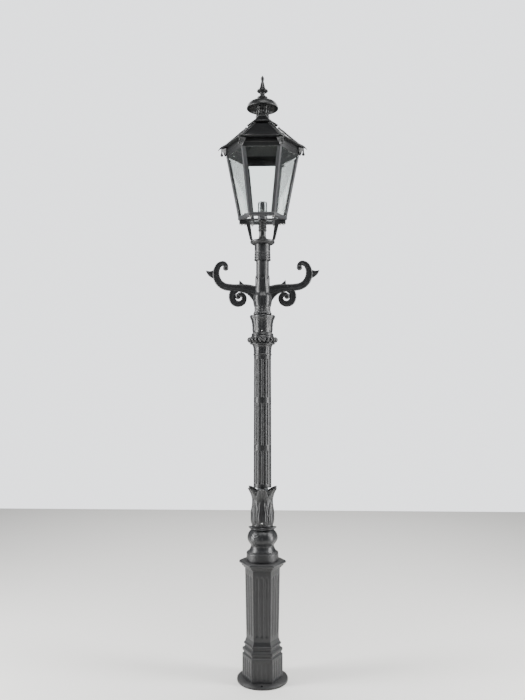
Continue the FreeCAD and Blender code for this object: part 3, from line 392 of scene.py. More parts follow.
# geometry node trees
def newTree(name, inputs):
    tree = bpy.data.node_groups.new(name, "GeometryNodeTree")
    tree.interface.new_socket("Geometry", in_out="INPUT", socket_type="NodeSocketGeometry")
    tree.interface.new_socket("Geometry", in_out="OUTPUT", socket_type="NodeSocketGeometry")
    for label, kind, value in inputs:
        socket = tree.interface.new_socket(label, in_out="INPUT", socket_type=kind)
        if value is not None:
            socket.default_value = value
    tree.interface.new_socket("Material", in_out="INPUT", socket_type="NodeSocketMaterial")
    return tree, addNode(tree, "NodeGroupInput").outputs


def closeTree(tree, geometry, material):
    real = addNode(tree, "GeometryNodeRealizeInstances", None, {"Geometry": geometry})
    coated = addNode(tree, "GeometryNodeSetMaterial", None,
                     {"Geometry": real.outputs[0], "Material": material})
    addNode(tree, "NodeGroupOutput", None, {0: coated.outputs[0]})


def grown(tree, mesh, values):  # runs a tree on a mesh with its named inputs set
    def setUp(carrier):
        growth = carrier.modifiers.new(tree.name, "NODES")
        growth.node_group = tree
        for item in tree.interface.items_tree:
            if item.in_out == "INPUT" and item.name in values:
                growth[item.identifier] = values[item.name]
    return evaluated(mesh, setUp)


def makeRingTree():
    # copies of one shape round the post: count, step and start of the angle, radius, level, uneven size
    tree, given = newTree("placed round the axis", [
        ("Count", "NodeSocketInt", 6), ("Step", "NodeSocketFloat", 1.0), ("Start", "NodeSocketFloat", 0.0),
        ("Radius", "NodeSocketFloat", 0.05), ("Level", "NodeSocketFloat", 0.0),
        ("Unevenness", "NodeSocketFloat", 0.0), ("Seed", "NodeSocketInt", 7)])
    number = addNode(tree, "GeometryNodeInputIndex").outputs[0]
    turned = maths(tree, "MULTIPLY_ADD", number, given["Step"], given["Start"])
    across = maths(tree, "MULTIPLY", maths(tree, "COSINE", turned), given["Radius"])
    along = maths(tree, "MULTIPLY", maths(tree, "SINE", turned), given["Radius"])
    spot = addNode(tree, "ShaderNodeCombineXYZ", None, {0: across, 1: along, 2: given["Level"]})
    points = addNode(tree, "GeometryNodePoints", None, {"Count": given["Count"], "Position": spot.outputs[0]})
    facing = addNode(tree, "FunctionNodeEulerToRotation", None,
                     {0: addNode(tree, "ShaderNodeCombineXYZ", None, {2: turned}).outputs[0]})
    size = addNode(tree, "FunctionNodeRandomValue", {"data_type": "FLOAT"},
                   {2: maths(tree, "SUBTRACT", 1.0, given["Unevenness"]),
                    3: maths(tree, "ADD", 1.0, given["Unevenness"]), "Seed": given["Seed"]})
    copies = addNode(tree, "GeometryNodeInstanceOnPoints", None,
                     {"Points": points.outputs[0], "Instance": given["Geometry"],
                      "Rotation": facing.outputs[0], "Scale": size.outputs[1]})
    closeTree(tree, copies.outputs[0], given["Material"])
    return tree


def makeColumnTree():
    # a tapered shaft with round-ended flutes in three lengths, all worked out from angle and level
    tree, given = newTree("fluted column", [
        ("Flutes", "NodeSocketInt", 16), ("Height", "NodeSocketFloat", 0.7), ("Foot", "NodeSocketFloat", 0.0),
        ("Foot Radius", "NodeSocketFloat", 0.05), ("Head Radius", "NodeSocketFloat", 0.048),
        ("Flute Half Width", "NodeSocketFloat", 0.006), ("Flute Depth", "NodeSocketFloat", 0.003),
        ("Low Block", "NodeSocketFloat", 0.2), ("High Block", "NodeSocketFloat", 0.5),
        ("Block Height", "NodeSocketFloat", 0.04), ("Margin", "NodeSocketFloat", 0.02)])
    half = given["Flute Half Width"]
    drum = addNode(tree, "GeometryNodeMeshCylinder", None,
                   {"Vertices": 192, "Side Segments": 270, "Radius": given["Foot Radius"],
                    "Depth": given["Height"]})
    place = addNode(tree, "ShaderNodeSeparateXYZ", None,
                    {0: addNode(tree, "GeometryNodeInputPosition").outputs[0]}).outputs
    angle = maths(tree, "ARCTAN2", place[1], place[0])
    up = maths(tree, "ADD", maths(tree, "DIVIDE", place[2], given["Height"]), 0.5)
    level = maths(tree, "MULTIPLY", up, given["Height"])
    # how far across its flute each point lies
    turns = maths(tree, "MULTIPLY", angle, maths(tree, "DIVIDE", given["Flutes"], 2 * math.pi))
    centred = maths(tree, "SUBTRACT", maths(tree, "FRACT", turns), 0.5)
    girth = maths(tree, "MULTIPLY", given["Foot Radius"], 2 * math.pi)
    across = maths(tree, "MULTIPLY", centred, maths(tree, "DIVIDE", girth, given["Flutes"]))
    # how far past the straight part of the nearest length it lies
    halfBlock = maths(tree, "MULTIPLY_ADD", given["Block Height"], 0.5, half)
    start = maths(tree, "ADD", given["Margin"], half)
    edges = [start]
    for block in ("Low Block", "High Block"):
        edges += [maths(tree, way, given[block], halfBlock) for way in ("SUBTRACT", "ADD")]
    edges.append(maths(tree, "SUBTRACT", given["Height"], start))
    over = None
    for low, high in zip(edges[0::2], edges[1::2]):
        past = maths(tree, "MAXIMUM", maths(tree, "SUBTRACT", low, level),
                     maths(tree, "SUBTRACT", level, high))
        over = past if over is None else maths(tree, "MINIMUM", over, past)
    apart = addNode(tree, "ShaderNodeCombineXYZ", None, {0: across, 1: maths(tree, "MAXIMUM", over, 0.0)})
    reach = addNode(tree, "ShaderNodeVectorMath", {"operation": "LENGTH"}, {0: apart.outputs[0]})
    near = maths(tree, "DIVIDE", reach.outputs["Value"], half, clamp=True)
    bowl = maths(tree, "SQRT", maths(tree, "SUBTRACT", 1.0, maths(tree, "MULTIPLY", near, near)))
    wall = ranged(tree, up, given["Foot Radius"], given["Head Radius"])
    radius = maths(tree, "SUBTRACT", wall, maths(tree, "MULTIPLY", bowl, given["Flute Depth"]))
    spot = addNode(tree, "ShaderNodeCombineXYZ", None,
                   {0: maths(tree, "MULTIPLY", radius, maths(tree, "COSINE", angle)),
                    1: maths(tree, "MULTIPLY", radius, maths(tree, "SINE", angle)),
                    2: maths(tree, "ADD", level, given["Foot"])})
    carved = addNode(tree, "GeometryNodeSetPosition", None,
                     {"Geometry": drum.outputs["Mesh"], "Position": spot.outputs[0]})
    closeTree(tree, carved.outputs[0], given["Material"])
    return tree


ringTree = makeRingTree()
columnTree = makeColumnTree()


def meshOf(shape):  # a plain mesh from a bmesh, which is freed
    mesh = bpy.data.meshes.new("part")
    shape.to_mesh(mesh)
    shape.free()
    return mesh


def block(size, middle):  # a box, in millimetres
    shape = bmesh.new()
    bmesh.ops.create_cube(shape, size=1)
    bmesh.ops.scale(shape, verts=shape.verts, vec=[v * mm for v in size])
    bmesh.ops.translate(shape, verts=shape.verts, vec=[v * mm for v in middle])
    return shape


def placedRound(shape, count, radius, level, material, start=0.0, step=None, uneven=0.0, seed=7):
    # shape is a bmesh at the origin that looks along +X; sizes in millimetres, angles in degrees
    return grown(ringTree, meshOf(shape), {
        "Count": count, "Step": math.radians(360 / count if step is None else step),
        "Start": math.radians(start), "Radius": radius * mm, "Level": level * mm,
        "Unevenness": uneven, "Seed": seed, "Material": material})


def gathered(*meshes):  # one bmesh from several plain meshes
    shape = bmesh.new()
    for mesh in meshes:
        shape.from_mesh(mesh)
    return shape


def lathe(profile, sides=24, facing=None):  # a closed turned solid about Z, or about +X where facing is "x"
    shape = bmesh.new()
    rows = [[(r * math.cos(2 * math.pi * k / sides), r * math.sin(2 * math.pi * k / sides), z)
             for k in range(sides)] for r, z in profile]
    if facing == "x":
        rows = [[(z, y, -x) for x, y, z in row] for row in rows]
    return skin(shape, rows, loop=False)


print("node trees ready")


# foot and pedestal
soften("foot_flange", 1.6, castEnamel)
soften("pedestal_cap", 1.8, castEnamel)
soften("mounting_board", 0.8, galvanised, "galvanised")
soften("fuse_cutout", 2.0, greyPlastic, "grey_plastic")
for node in ("core_tube", "door_hinge_pins"):
    soften(node, 0.5, galvanised, "galvanised")
soften("supply_cable", 0.4, cableRubber, "cable_sheath")

plinthSizes = {"corner": 114, "neck": 99, "shaftFoot": 92, "wall": 10, "border": 15, "fluteHalf": 10.5,
               "fluteDeep": 2.6, "flutes": (-36, -12, 12, 36), "top": 148}


def makePlinth():
    s = plinthSizes
    low, high = foot("plinth"), head("plinth")
    c, t, n = s["corner"], s["top"], s["neck"]

    def panel(side, reach, level, half):
        if level > t or abs(reach) > half - 4:
            return 0
        return min(trough(reach, level, centre, low + s["border"], t - s["border"], s["fluteHalf"],
                          s["fluteDeep"]) for centre in s["flutes"])

    outer = softLine([(c, low), (c, t), (c - 7, t + 5), (c - 7, t + 13), (c - 1.5, t + 17), (c, t + 25),
                      (c - 1.5, t + 33), (n + 2, t + 38), (n, t + 44), (n, t + 52), (n + 5.5, t + 54),
                      (n + 7, t + 59), (n + 5.5, t + 64), (n + 1, t + 66), (s["shaftFoot"], high)], 2.2, 4, 3)
    shares = spread(-1, 1, 49)
    rings = [hexRing(r, z, shares, panel) for r, z in outer]
    for corner, level in ((s["shaftFoot"] - s["wall"], high), (s["shaftFoot"] - s["wall"], t + 16),
                          (c - s["wall"], t - 6), (c - s["wall"], low)):
        rings.append(hexRing(corner, level, shares))
    addPiece("plinth.cast", skin(bmesh.new(), rings), castEnamel, "plinth")


shaftSizes = {"foot": 92, "head": 98.6, "wall": 9, "flutes": (-27, 0, 27), "fluteHalf": 9.5, "fluteDeep": 3.4,
              "lowStop": 24, "highStop": 36, "lip": 17, "knuckle": 6, "knuckleLength": 14, "knuckleGap": 0.6,
              "softEnd": 0.7, "web": (9, 13), "rearSide": 1, "doorWidth": 62, "doorGap": 1.2,
              "doorDepth": (45, 120)}


def makeShaft():
    s = shaftSizes
    low, high = foot("pedestal_shaft"), head("pedestal_shaft")
    doorLow, doorHigh = boxes["access_door"]
    pinLow, pinHigh = boxes["door_hinge_pins"]

    def flutes(side, reach, level, half):
        if side == s["rearSide"]:
            return 0
        return min(trough(reach, level, centre, low + s["lowStop"], high - s["highStop"], s["fluteHalf"],
                          s["fluteDeep"]) for centre in s["flutes"])

    outer = softLine([(s["foot"], low), (s["head"], high - s["lip"]), (s["head"], high)], 1.0, 5, 2)
    shares = spread(-1, 1, 45)
    rings = [hexRing(r, z, shares, flutes) for r, z in outer]
    for corner, level in ((s["head"] - s["wall"], high), (s["head"] - s["wall"], high - s["lip"]),
                          (s["foot"] - s["wall"], low)):
        rings.append(hexRing(corner, level, shares))
    casting = skin(bmesh.new(), rings)
    bmesh.ops.recalc_face_normals(casting, faces=casting.faces)
    shell = meshOf(casting)
    near, far = s["doorDepth"]
    sill, lintel = doorLow[2] - s["doorGap"], doorHigh[2] + s["doorGap"]
    hole = block((s["doorWidth"], far - near, lintel - sill), (0, (near + far) / 2, (sill + lintel) / 2))
    cutter = bpy.data.objects.new("doorway", meshOf(hole))
    bpy.context.collection.objects.link(cutter)

    def cutDoorway(carrier):
        opening = carrier.modifiers.new("doorway", "BOOLEAN")
        opening.operation = "DIFFERENCE"
        opening.solver = "EXACT"
        opening.object = cutter

    shape = gathered(evaluated(shell, cutDoorway))
    bpy.data.objects.remove(cutter)
    pinX, pinY = (pinLow[0] + pinHigh[0]) / 2, (pinLow[1] + pinHigh[1]) / 2
    tall, r, e = s["knuckleLength"], s["knuckle"], s["softEnd"]
    half = 1.5 * tall + 2.6
    for level in (pinLow[2] + half, pinHigh[2] - half):
        for side in (-1, 1):
            start = level + side * (tall + s["knuckleGap"]) - tall / 2
            barrel = lathe([(r - e, 0), (r, e), (r, tall - e), (r - e, tall)], 28)
            bmesh.ops.translate(barrel, verts=barrel.verts, vec=[v * mm for v in (pinX, pinY, start)])
            web = block((*s["web"], tall - 0.4), (pinX - 1.5, pinY - s["web"][1] / 2, start + tall / 2))
            for extra in (barrel, web):
                shape.from_mesh(meshOf(extra))
    addPiece("shaft.cast", shape, castEnamel, "pedestal_shaft")


makePlinth()
makeShaft()
soften("access_door", 0.9, castEnamel)
soften("door_lock", 0.6, turnedSteel, "stainless")
print("foot and pedestal done")

# turned and leaf-covered castings of the post
tubeRadius = 30.5


def makeTurned(node, profile, material, relief=None, sides=96, bore=tubeRadius,
               soft=2.0, step=0.0, crease=35, extra=()):
    rings = turnedRings(softLine(profile, soft, step), sides, relief, bore)
    shape = skin(bmesh.new(), rings)
    for mesh in extra:
        shape.from_mesh(mesh)
    return addPiece(node + ".cast", shape, material, node, None, crease)


def sector(turn, count, offset=0.0):  # which of count equal sectors, and how far across it from -1 to 1
    at = (turn / (2 * math.pi) * count + offset) % count
    return int(at), 2 * (at % 1) - 1


drumLow, drumHigh = foot("drum_collar"), head("drum_collar")
makeTurned("drum_collar", [(88, drumLow), (90, drumLow + 2), (90, drumHigh - 10), (88, drumHigh - 7),
                           (77, drumHigh), (68, drumHigh)], castEnamel)

knopSizes = {"sectors": 6, "bulb": 4.5, "leaf": 2.6, "rib": 1.8, "vein": 0.8, "veinPitch": 13, "start": 757}


def knopRelief(turn, radius, level):
    # six leaves in turn: a smooth bulb, then a pointed leaf with a rib
    s = knopSizes
    if level < s["start"]:
        return 0, 0
    which, across = sector(turn, s["sectors"], 0.5)
    share = min(1.0, (level - s["start"]) / (head("leaf_knop") - s["start"]))
    fade = math.sin(math.pi * share) ** 0.6
    dome = math.sqrt(max(0.0, 1 - across * across))
    if which % 2:
        out = s["bulb"] * dome - s["bulb"] * 0.75
    else:
        wide = 0.98 * math.sin(math.pi * (0.12 + 0.8 * share)) ** 0.5
        blade = math.sqrt(max(0.0, 1 - (across / wide) ** 2))
        out = s["leaf"] * blade - s["leaf"] + s["rib"] * math.exp(-(across / 0.06) ** 2)
        chevron = (level - s["start"]) / s["veinPitch"] - abs(across) * 2
        out += s["vein"] * blade * math.cos(2 * math.pi * chevron)
    return out * fade, 0


knopLow, knopHigh = foot("leaf_knop"), head("leaf_knop")
makeTurned("leaf_knop", [(75, knopLow), (75, knopLow + 3), (68, knopLow + 16), (65, knopLow + 28),
                         (66, knopLow + 36), (76, knopLow + 49), (83, knopLow + 62), (84.5, knopLow + 75),
                         (82, knopLow + 90), (75, knopLow + 106), (63, knopHigh - 2), (61, knopHigh)],
           fineEnamel, knopRelief, 216, soft=8, step=2.2, crease=50)


def saucerRelief(turn, radius, level):
    # six pointed corners that lift as they reach out
    edge = smooth(radius, 56, 76)
    wave = math.cos(6 * turn)
    point = (wave + 1) ** 1.4 / 1.32 - 1
    return 4.6 * point * edge - 1.2 * edge, 3.2 * point * edge


saucerLow, saucerHigh = foot("wavy_saucer"), head("wavy_saucer")
makeTurned("wavy_saucer", [(60, saucerLow), (70, saucerLow + 4), (75, saucerLow + 7), (76, saucerLow + 9.5),
                           (74, saucerLow + 12), (62, saucerLow + 15), (56, saucerHigh)], fineEnamel,
           saucerRelief, 180, soft=2.5, step=3, crease=50)

vaseSizes = {"leaves": 6, "lobe": 5.5, "rib": 1.5, "dip": 24, "pinch": 19, "crownFoot": 138, "outline": 1.4,
             "curl": 6}


def vaseRelief(turn, radius, level):
    s = vaseSizes
    base, top = foot("leaf_vase"), head("leaf_vase")
    up = level - base
    across = sector(turn, s["leaves"])[1]
    body = smooth(up, 3, 16) * (1 - smooth(up, 128, 156))
    # long petals with a round foot and a raised border
    tall = min(1.0, max(0.0, (up - 8) / 26))
    wide = 0.93 * math.sqrt(max(0.0, 1 - (1 - tall) ** 2)) * (1 - 0.35 * smooth(up, 70, 150))
    out = -2.2 * body
    if wide > 0.05 and abs(across) < wide:
        inside = abs(across) / wide
        out += body * s["lobe"] * math.sqrt(1 - inside ** 4)
        out -= body * s["outline"] * 1.6 * math.exp(-((inside - 0.72) / 0.09) ** 2)
        out += body * s["rib"] * math.exp(-(across / 0.07) ** 2) * smooth(up, 40, 100)
    # narrow second leaves behind the gaps
    other = 1 - abs(across)
    slip = 0.42 * smooth(up, 44, 96)
    if slip > 0.05 and other < slip:
        out += body * 3.4 * math.sqrt(1 - (other / slip) ** 2)
    crown = smooth(up, s["crownFoot"], top - base) if radius > 55 else 0.0
    edge = abs(across) ** 1.6
    flare = smooth(radius, 58, 84) * crown
    out += flare * (2.6 * math.exp(-(across / 0.09) ** 2) + s["curl"] * (1 - edge) - s["pinch"] * edge)
    out += crown * 1.5 * math.cos(math.pi * 4 * across) * (1 - edge)
    return out, -s["dip"] * edge * crown


vaseLow, vaseHigh = foot("leaf_vase"), head("leaf_vase")
makeTurned("leaf_vase", [(56, vaseLow), (60, vaseLow + 3), (63, vaseLow + 14), (66, vaseLow + 34),
                         (65.5, vaseLow + 58), (62, vaseLow + 84), (58.5, vaseLow + 110), (58, vaseLow + 134),
                         (60, vaseLow + 156), (65, vaseLow + 176), (73, vaseLow + 195), (81, vaseLow + 210),
                         (84, vaseHigh - 3), (82, vaseHigh), (77, vaseHigh - 2), (70, vaseHigh - 14),
                         (62, vaseHigh - 28), (54, vaseHigh - 34)], fineEnamel, vaseRelief, 216, bore=44,
           soft=9, step=2.2, crease=60)

columnSizes = {"Flutes": 16, "Foot Radius": 0.0505, "Head Radius": 0.0485, "Flute Half Width": 0.0066,
               "Flute Depth": 0.0034, "Low Block": 0.223, "High Block": 0.490, "Block Height": 0.032,
               "Margin": 0.020}
blank = bpy.data.meshes.new("column blank")
columnLow, columnHigh = foot("fluted_column"), head("fluted_column")
column = grown(columnTree, blank, {**columnSizes, "Height": (columnHigh - columnLow) * mm,
                                   "Foot": columnLow * mm, "Material": castEnamel})
addPiece("column.cast", gathered(column), castEnamel, "fluted_column", crease=50)


def bellRelief(turn, radius, level):
    across = sector(turn, 16, 0.5)[1]
    return -1.1 * across * across * smooth(level, bellLow, bellLow + 12), 0


bellLow, bellHigh = foot("column_bell"), head("column_bell")
makeTurned("column_bell", [(48.5, bellLow), (52, bellLow + 3), (52, bellLow + 8), (49, bellLow + 12),
                           (49.5, bellLow + 26), (51, bellLow + 42), (54, bellLow + 54), (57.5, bellHigh - 3),
                           (57.5, bellHigh)], fineEnamel, bellRelief, 192, soft=4, step=3)

gadroonSizes = {"eggs": 22, "eggHalf": 11.4, "eggTall": 15.5, "ring": 75.5, "sides": 18}


def makeGadroon():
    s = gadroonSizes
    low, high = foot("gadroon_ring"), head("gadroon_ring")
    middle = (low + high) / 2 + 1
    shares = spread(0.02, 0.98, 11)
    egg = lathe([(s["eggHalf"] * math.sin(math.pi * t) ** 0.62 * (0.84 + 0.22 * t),
                  s["eggTall"] * (2 * t - 1)) for t in shares], s["sides"])
    eggs = placedRound(egg, s["eggs"], s["ring"], middle, fineEnamel, uneven=0.015)
    makeTurned("gadroon_ring", [(58, low), (66, low), (72, low + 4), (72, low + 7), (67, low + 10),
                                (67, low + 25), (67, high - 12), (64, high - 4), (62, high)], fineEnamel,
               None, 96, soft=1.5, extra=(eggs,))


makeGadroon()

sleeveSizes = {"corners": 4, "pinch": 5, "dip": 4, "leaf": 3.0, "rib": 1.6, "vein": 0.35, "veinPitch": 19}


def sleeveRelief(turn, radius, level):
    s = sleeveSizes
    base, top = foot("bracket_sleeve"), head("bracket_sleeve")
    up = level - base
    across = sector(turn, s["corners"], 0.5)[1]
    lip = smooth(up, 64, top - base) * (1 if radius > 50 else 0)
    out = -s["pinch"] * abs(across) ** 1.5 * lip
    wall = smooth(up, 18, 28) * (1 - smooth(up, 104, 116))
    tall = min(1.0, max(0.0, (up - 18) / 90))
    wide = 0.35 + 0.6 * math.sin(math.pi * (0.15 + 0.62 * tall))
    if abs(across) < wide:
        dome = math.sqrt(1 - (across / wide) ** 2)
        out += wall * (s["leaf"] * dome + s["rib"] * math.exp(-(across / 0.07) ** 2))
        out += wall * dome * s["vein"] * math.cos(2 * math.pi * (up / s["veinPitch"] - abs(across) * 2.2))
    return out, -s["dip"] * abs(across) ** 1.4 * lip


sleeveLow, sleeveHigh = foot("bracket_sleeve"), head("bracket_sleeve")
makeTurned("bracket_sleeve", [(58, sleeveLow), (61, sleeveLow + 1), (62.5, sleeveLow + 5),
                              (61, sleeveLow + 10), (56, sleeveLow + 15), (53, sleeveLow + 24),
                              (53, sleeveLow + 44), (54.5, sleeveLow + 66), (58, sleeveLow + 84),
                              (64, sleeveLow + 98), (68.5, sleeveLow + 108), (69, sleeveLow + 113),
                              (66, sleeveHigh), (56, sleeveHigh - 5), (48, sleeveHigh - 8)], fineEnamel,
           sleeveRelief, 192, soft=5, step=2.4, crease=55)
print("post castings done")

# bracket hub and its scrolls
hubSizes = {"petals": 6, "petal": 5.5, "ridge": 2.4, "vein": 0.7, "veinPitch": 15, "scallop": 2.6}


def hubRelief(turn, radius, level):
    s = hubSizes
    up = level - foot("bracket_hub")
    across = sector(turn, s["petals"], 0.5)[1]
    dome = math.sqrt(max(0.0, 1 - across * across))
    rise = smooth(up, 40, 56) * (1 - smooth(up, 112, 124))
    out = rise * (s["petal"] * dome - s["petal"] * 0.55 + s["ridge"] * smooth(abs(across), 0.9, 1.0))
    chevron = smooth(up, 8, 14) * (1 - smooth(up, 44, 56))
    out += chevron * (s["vein"] * math.cos(2 * math.pi * (up / s["veinPitch"] - (1 - abs(across)) * 1.4))
                      + 1.6 * smooth(abs(across), 0.86, 1.0))
    out += (1 - smooth(up, 6, 14)) * s["scallop"] * (abs(math.cos(6 * turn)) - 0.5)
    # pointed leaf tips lie against the tube at the top
    tips = smooth(up, 150, 196) * (1 if radius > 37 else 0)
    beside = abs(sector(turn, 8)[1])
    out += tips * (1.6 - 3.6 * beside)
    return out, -tips * 22 * smooth(up, 190, 222) * beside


hubLow, hubHigh = foot("bracket_hub"), head("bracket_hub")
makeTurned("bracket_hub", [(47, hubLow), (51, hubLow + 2), (51, hubLow + 8), (46, hubLow + 16),
                           (44.5, hubLow + 32), (46, hubLow + 48), (50, hubLow + 70), (53, hubLow + 90),
                           (51.5, hubLow + 104), (45, hubLow + 118), (42.5, hubLow + 130),
                           (41.5, hubLow + 160), (41.5, hubLow + 190), (42, hubLow + 206), (41, hubLow + 216),
                           (39.5, hubHigh), (36.6, hubHigh - 24)], fineEnamel, hubRelief, 168, bore=36.4,
           soft=5, step=2.6, crease=50)

armSizes = {"root": 44, "rootLevel": 148, "half": 26, "halfMid": 20.5, "halfEnd": 13.0, "deep": 12.0,
            "volute": 19, "groove": 0.3, "sides": 28, "eye": 16, "eyeDeep": 14.5, "eyeRings": 12,
            "eyeSides": 24, "knee": (14, 4), "outerLeaf": (34, 10), "uprightLeaf": (24, 9)}
upperLine = [(-10, -14), (16, -6), (48, 1), (86, 4), (130, 6), (170, 13), (200, 34), (216, 66), (217, 100),
             (203, 132), (178, 143), (163, 131), (164, 117)]
lowerLine = [(104, -4), (122, -20), (128, -48), (117, -76), (92, -86), (68, -77), (59, -54), (68, -36),
             (84, -34), (94, -44)]
kneeLine = [(-6, -66), (6, -52), (20, -36), (38, -22), (62, -12)]
outerLeaf = [(212, 82), (234, 82), (252, 86), (266, 94), (276, 104)]
uprightLeaf = [(68, 0), (73, 16), (80, 32), (86, 48)]


def curveThrough(points, count):  # an even walk along a smooth line through the points
    spots = [Vector((x, z)) for x, z in points]
    ends = [2 * spots[0] - spots[1]] + spots + [2 * spots[-1] - spots[-2]]
    line = []
    for a, b, c, d in zip(ends, ends[1:], ends[2:], ends[3:]):
        for n in range(16):
            t = n / 16
            line.append(0.5 * (2 * b + (c - a) * t + (2 * a - 5 * b + 4 * c - d) * t * t
                               + (3 * b - a - 3 * c + d) * t ** 3))
    line.append(spots[-1])
    lengths = [0.0]
    for low, high in zip(line, line[1:]):
        lengths.append(lengths[-1] + (high - low).length)
    walk = []
    k = 0
    for n in range(count):
        want = lengths[-1] * n / (count - 1)
        while k < len(line) - 2 and lengths[k + 1] < want:
            k += 1
        gap = lengths[k + 1] - lengths[k]
        walk.append(line[k].lerp(line[k + 1], (want - lengths[k]) / gap if gap else 0))
    return walk


def ribbon(shape, points, count, halfAt, deepAt, groove, side, root):
    # a cast band along a line in the XZ plane; halfAt and deepAt give its half width and half depth
    sides = armSizes["sides"]
    walk = curveThrough(points, count)
    rings = []
    for n, spot in enumerate(walk):
        ahead = (walk[min(n + 1, count - 1)] - walk[max(n - 1, 0)]).normalized()
        across = Vector((-ahead.y, ahead.x))
        share = n / (count - 1)
        half, deep = halfAt(share), deepAt(share)
        ring = []
        for k in range(sides):
            turn = 2 * math.pi * k / sides
            a = math.copysign(abs(math.cos(turn)) ** 0.72, math.cos(turn))
            b = math.copysign(abs(math.sin(turn)) ** 0.62, math.sin(turn))
            b *= 1 - groove * math.exp(-(a / 0.4) ** 2)
            place = spot + across * a * half
            ring.append((side * (root[0] + place.x), b * deep, root[1] + place.y))
        rings.append(ring)
    skin(shape, rings, loop=False)


def makeArm(node, side):
    s = armSizes
    root = (s["root"], foot("bracket_hub") + s["rootLevel"])
    shape = bmesh.new()
    thin, thinner = s["half"] - s["halfMid"], s["halfMid"] - s["halfEnd"]

    def upperHalf(t):
        return s["half"] - thin * smooth(t, 0.05, 0.35) - thinner * smooth(t, 0.6, 1.0)

    ribbon(shape, upperLine, 150, upperHalf, lambda t: s["deep"], s["groove"], side, root)
    ribbon(shape, lowerLine, 110, lambda t: s["volute"] - 6 * smooth(t, 0.3, 1.0), lambda t: s["deep"] - 1.2,
           s["groove"], side, root)
    knee, slimmer = s["knee"]
    ribbon(shape, kneeLine, 30, lambda t: knee - slimmer * t, lambda t: s["deep"] - 2, 0.1, side, root)
    for end in (upperLine[-1], lowerLine[-1]):
        count, around = s["eyeRings"], s["eyeSides"]
        rows = [(s["eye"] * math.sin(math.pi * (0.04 + 0.92 * n / count)) ** 0.7,
                 -s["eyeDeep"] * math.cos(math.pi * (0.04 + 0.92 * n / count))) for n in range(count + 1)]
        skin(shape, [[(side * (root[0] + end[0] + r * math.cos(2 * math.pi * k / around)), y,
                       root[1] + end[1] + r * math.sin(2 * math.pi * k / around)) for k in range(around)]
                     for r, y in rows], loop=False)
    for line, (wide, deep) in ((outerLeaf, s["outerLeaf"]), (uprightLeaf, s["uprightLeaf"])):
        ribbon(shape, line, 24, lambda t: max(0.5, wide * (1 - t) ** 0.9),
               lambda t: max(0.6, deep * (1 - t) ** 0.5), 0.35, side, root)
    addPiece(node + ".cast", shape, fineEnamel, node, crease=50)


makeArm("scroll_arm_right", 1)
makeArm("scroll_arm_left", -1)
print("bracket done")

# seat of the lantern
soften("spigot_tube", 0.6, castEnamel)


def socketScrew(radius, tall, hollow):  # a small turned screw head that looks along +X, with its key hole
    return lathe([(radius, -6), (radius, tall - 0.8), (radius - 0.8, tall), (hollow, tall),
                  (hollow, tall - 2), (0.4, tall - 2)], 20, "x")


def hexNut(radius, tall, bolt, proud):  # hangs below its level: nut, washer and bolt end
    nut = lathe([(radius - 0.8, -tall), (radius, -tall + 1), (radius, -0.9), (radius - 0.5, 0)], 6)
    rod = lathe([(bolt - 0.7, -tall - proud), (bolt, -tall - proud + 0.8), (bolt, -1)], 20)
    washer = lathe([(radius + 1.6, -1.6), (radius + 1.6, -0.1)], 24)
    for part in (rod, washer):
        nut.from_mesh(meshOf(part))
    return nut


collarLow, collarHigh = foot("lantern_collar"), head("lantern_collar")
makeTurned("lantern_collar", [(40, collarLow), (46, collarLow), (47, collarLow + 2), (47, collarLow + 8),
                              (43, collarLow + 10), (43, collarLow + 13), (46, collarLow + 15),
                              (46, collarLow + 23), (43, collarLow + 25), (43, collarLow + 28),
                              (45.5, collarLow + 30), (45.5, collarLow + 38), (43, collarLow + 40),
                              (43, collarLow + 43), (44.5, collarLow + 45), (44.5, collarHigh)], castEnamel,
           bore=6, soft=1.2)
screwSizes = {"collar": (4, 1, 2), "collarReach": 44.5, "collarUp": 50, "post": (4.2, 2.2, 2.1),
              "vaseSpot": (68.5, 24), "sleeveSpot": (56.5, 26)}
collarScrews = placedRound(socketScrew(*screwSizes["collar"]), 3, screwSizes["collarReach"],
                           collarLow + screwSizes["collarUp"], turnedSteel, start=-30)
addPiece("collar.screws", gathered(collarScrews), turnedSteel, "collar_screws", None)
postScrews = [placedRound(socketScrew(*screwSizes["post"]), 3, reach, low + up, turnedSteel, start=-90)
              for (reach, up), low in ((screwSizes["vaseSpot"], vaseLow),
                                       (screwSizes["sleeveSpot"], sleeveLow))]
addPiece("post.screws", gathered(*postScrews), turnedSteel, "post_screws", None)

discLow, discHigh = foot("cradle_disc"), head("cradle_disc")
makeTurned("cradle_disc", [(54, discLow), (60, discLow + 2), (66, discLow + 7), (69, discLow + 11),
                           (69, discLow + 17), (67.5, discLow + 20), (64, discHigh), (40, discHigh)],
           castEnamel, bore=6, soft=1.5)
for node in ("cradle_arm_left", "cradle_arm_right"):
    soften(node, 2.2, castEnamel)
pipeLow, pipeHigh = foot("stem_pipe"), head("stem_pipe")
makeTurned("stem_pipe", [(31, pipeLow), (30, pipeLow + 4), (25.5, pipeLow + 11), (21, pipeLow + 20),
                         (19, pipeLow + 30), (19, pipeHigh)], powderCoat, bore=6,
           soft=5)

glandSizes = {"beads": 22, "radius": 20.6, "bead": 3.4, "rows": 4}


def makeGland():
    # clamping rings with a knurled rim, one over another
    s = glandSizes
    low, high = foot("cable_gland"), head("cable_gland")
    pitch = (high - low) / s["rows"]
    rows = []
    for row in range(s["rows"]):
        half = pitch / 2 - 1.2
        bead = lathe([(s["bead"] * math.sin(math.pi * t) ** 0.5, half * (2 * t - 1))
                      for t in spread(0.04, 0.96, 9)], 10)
        rows.append(placedRound(bead, s["beads"], s["radius"], low + pitch * (row + 0.5), blackPlastic,
                                start=360 / s["beads"] * 0.5 * (row % 2)))
    makeTurned("cable_gland", [(18, low), (21, low + 1), (21, high - 1), (18, high)], blackPlastic, None,
               64, 6, 1.0, extra=rows)


makeGland()

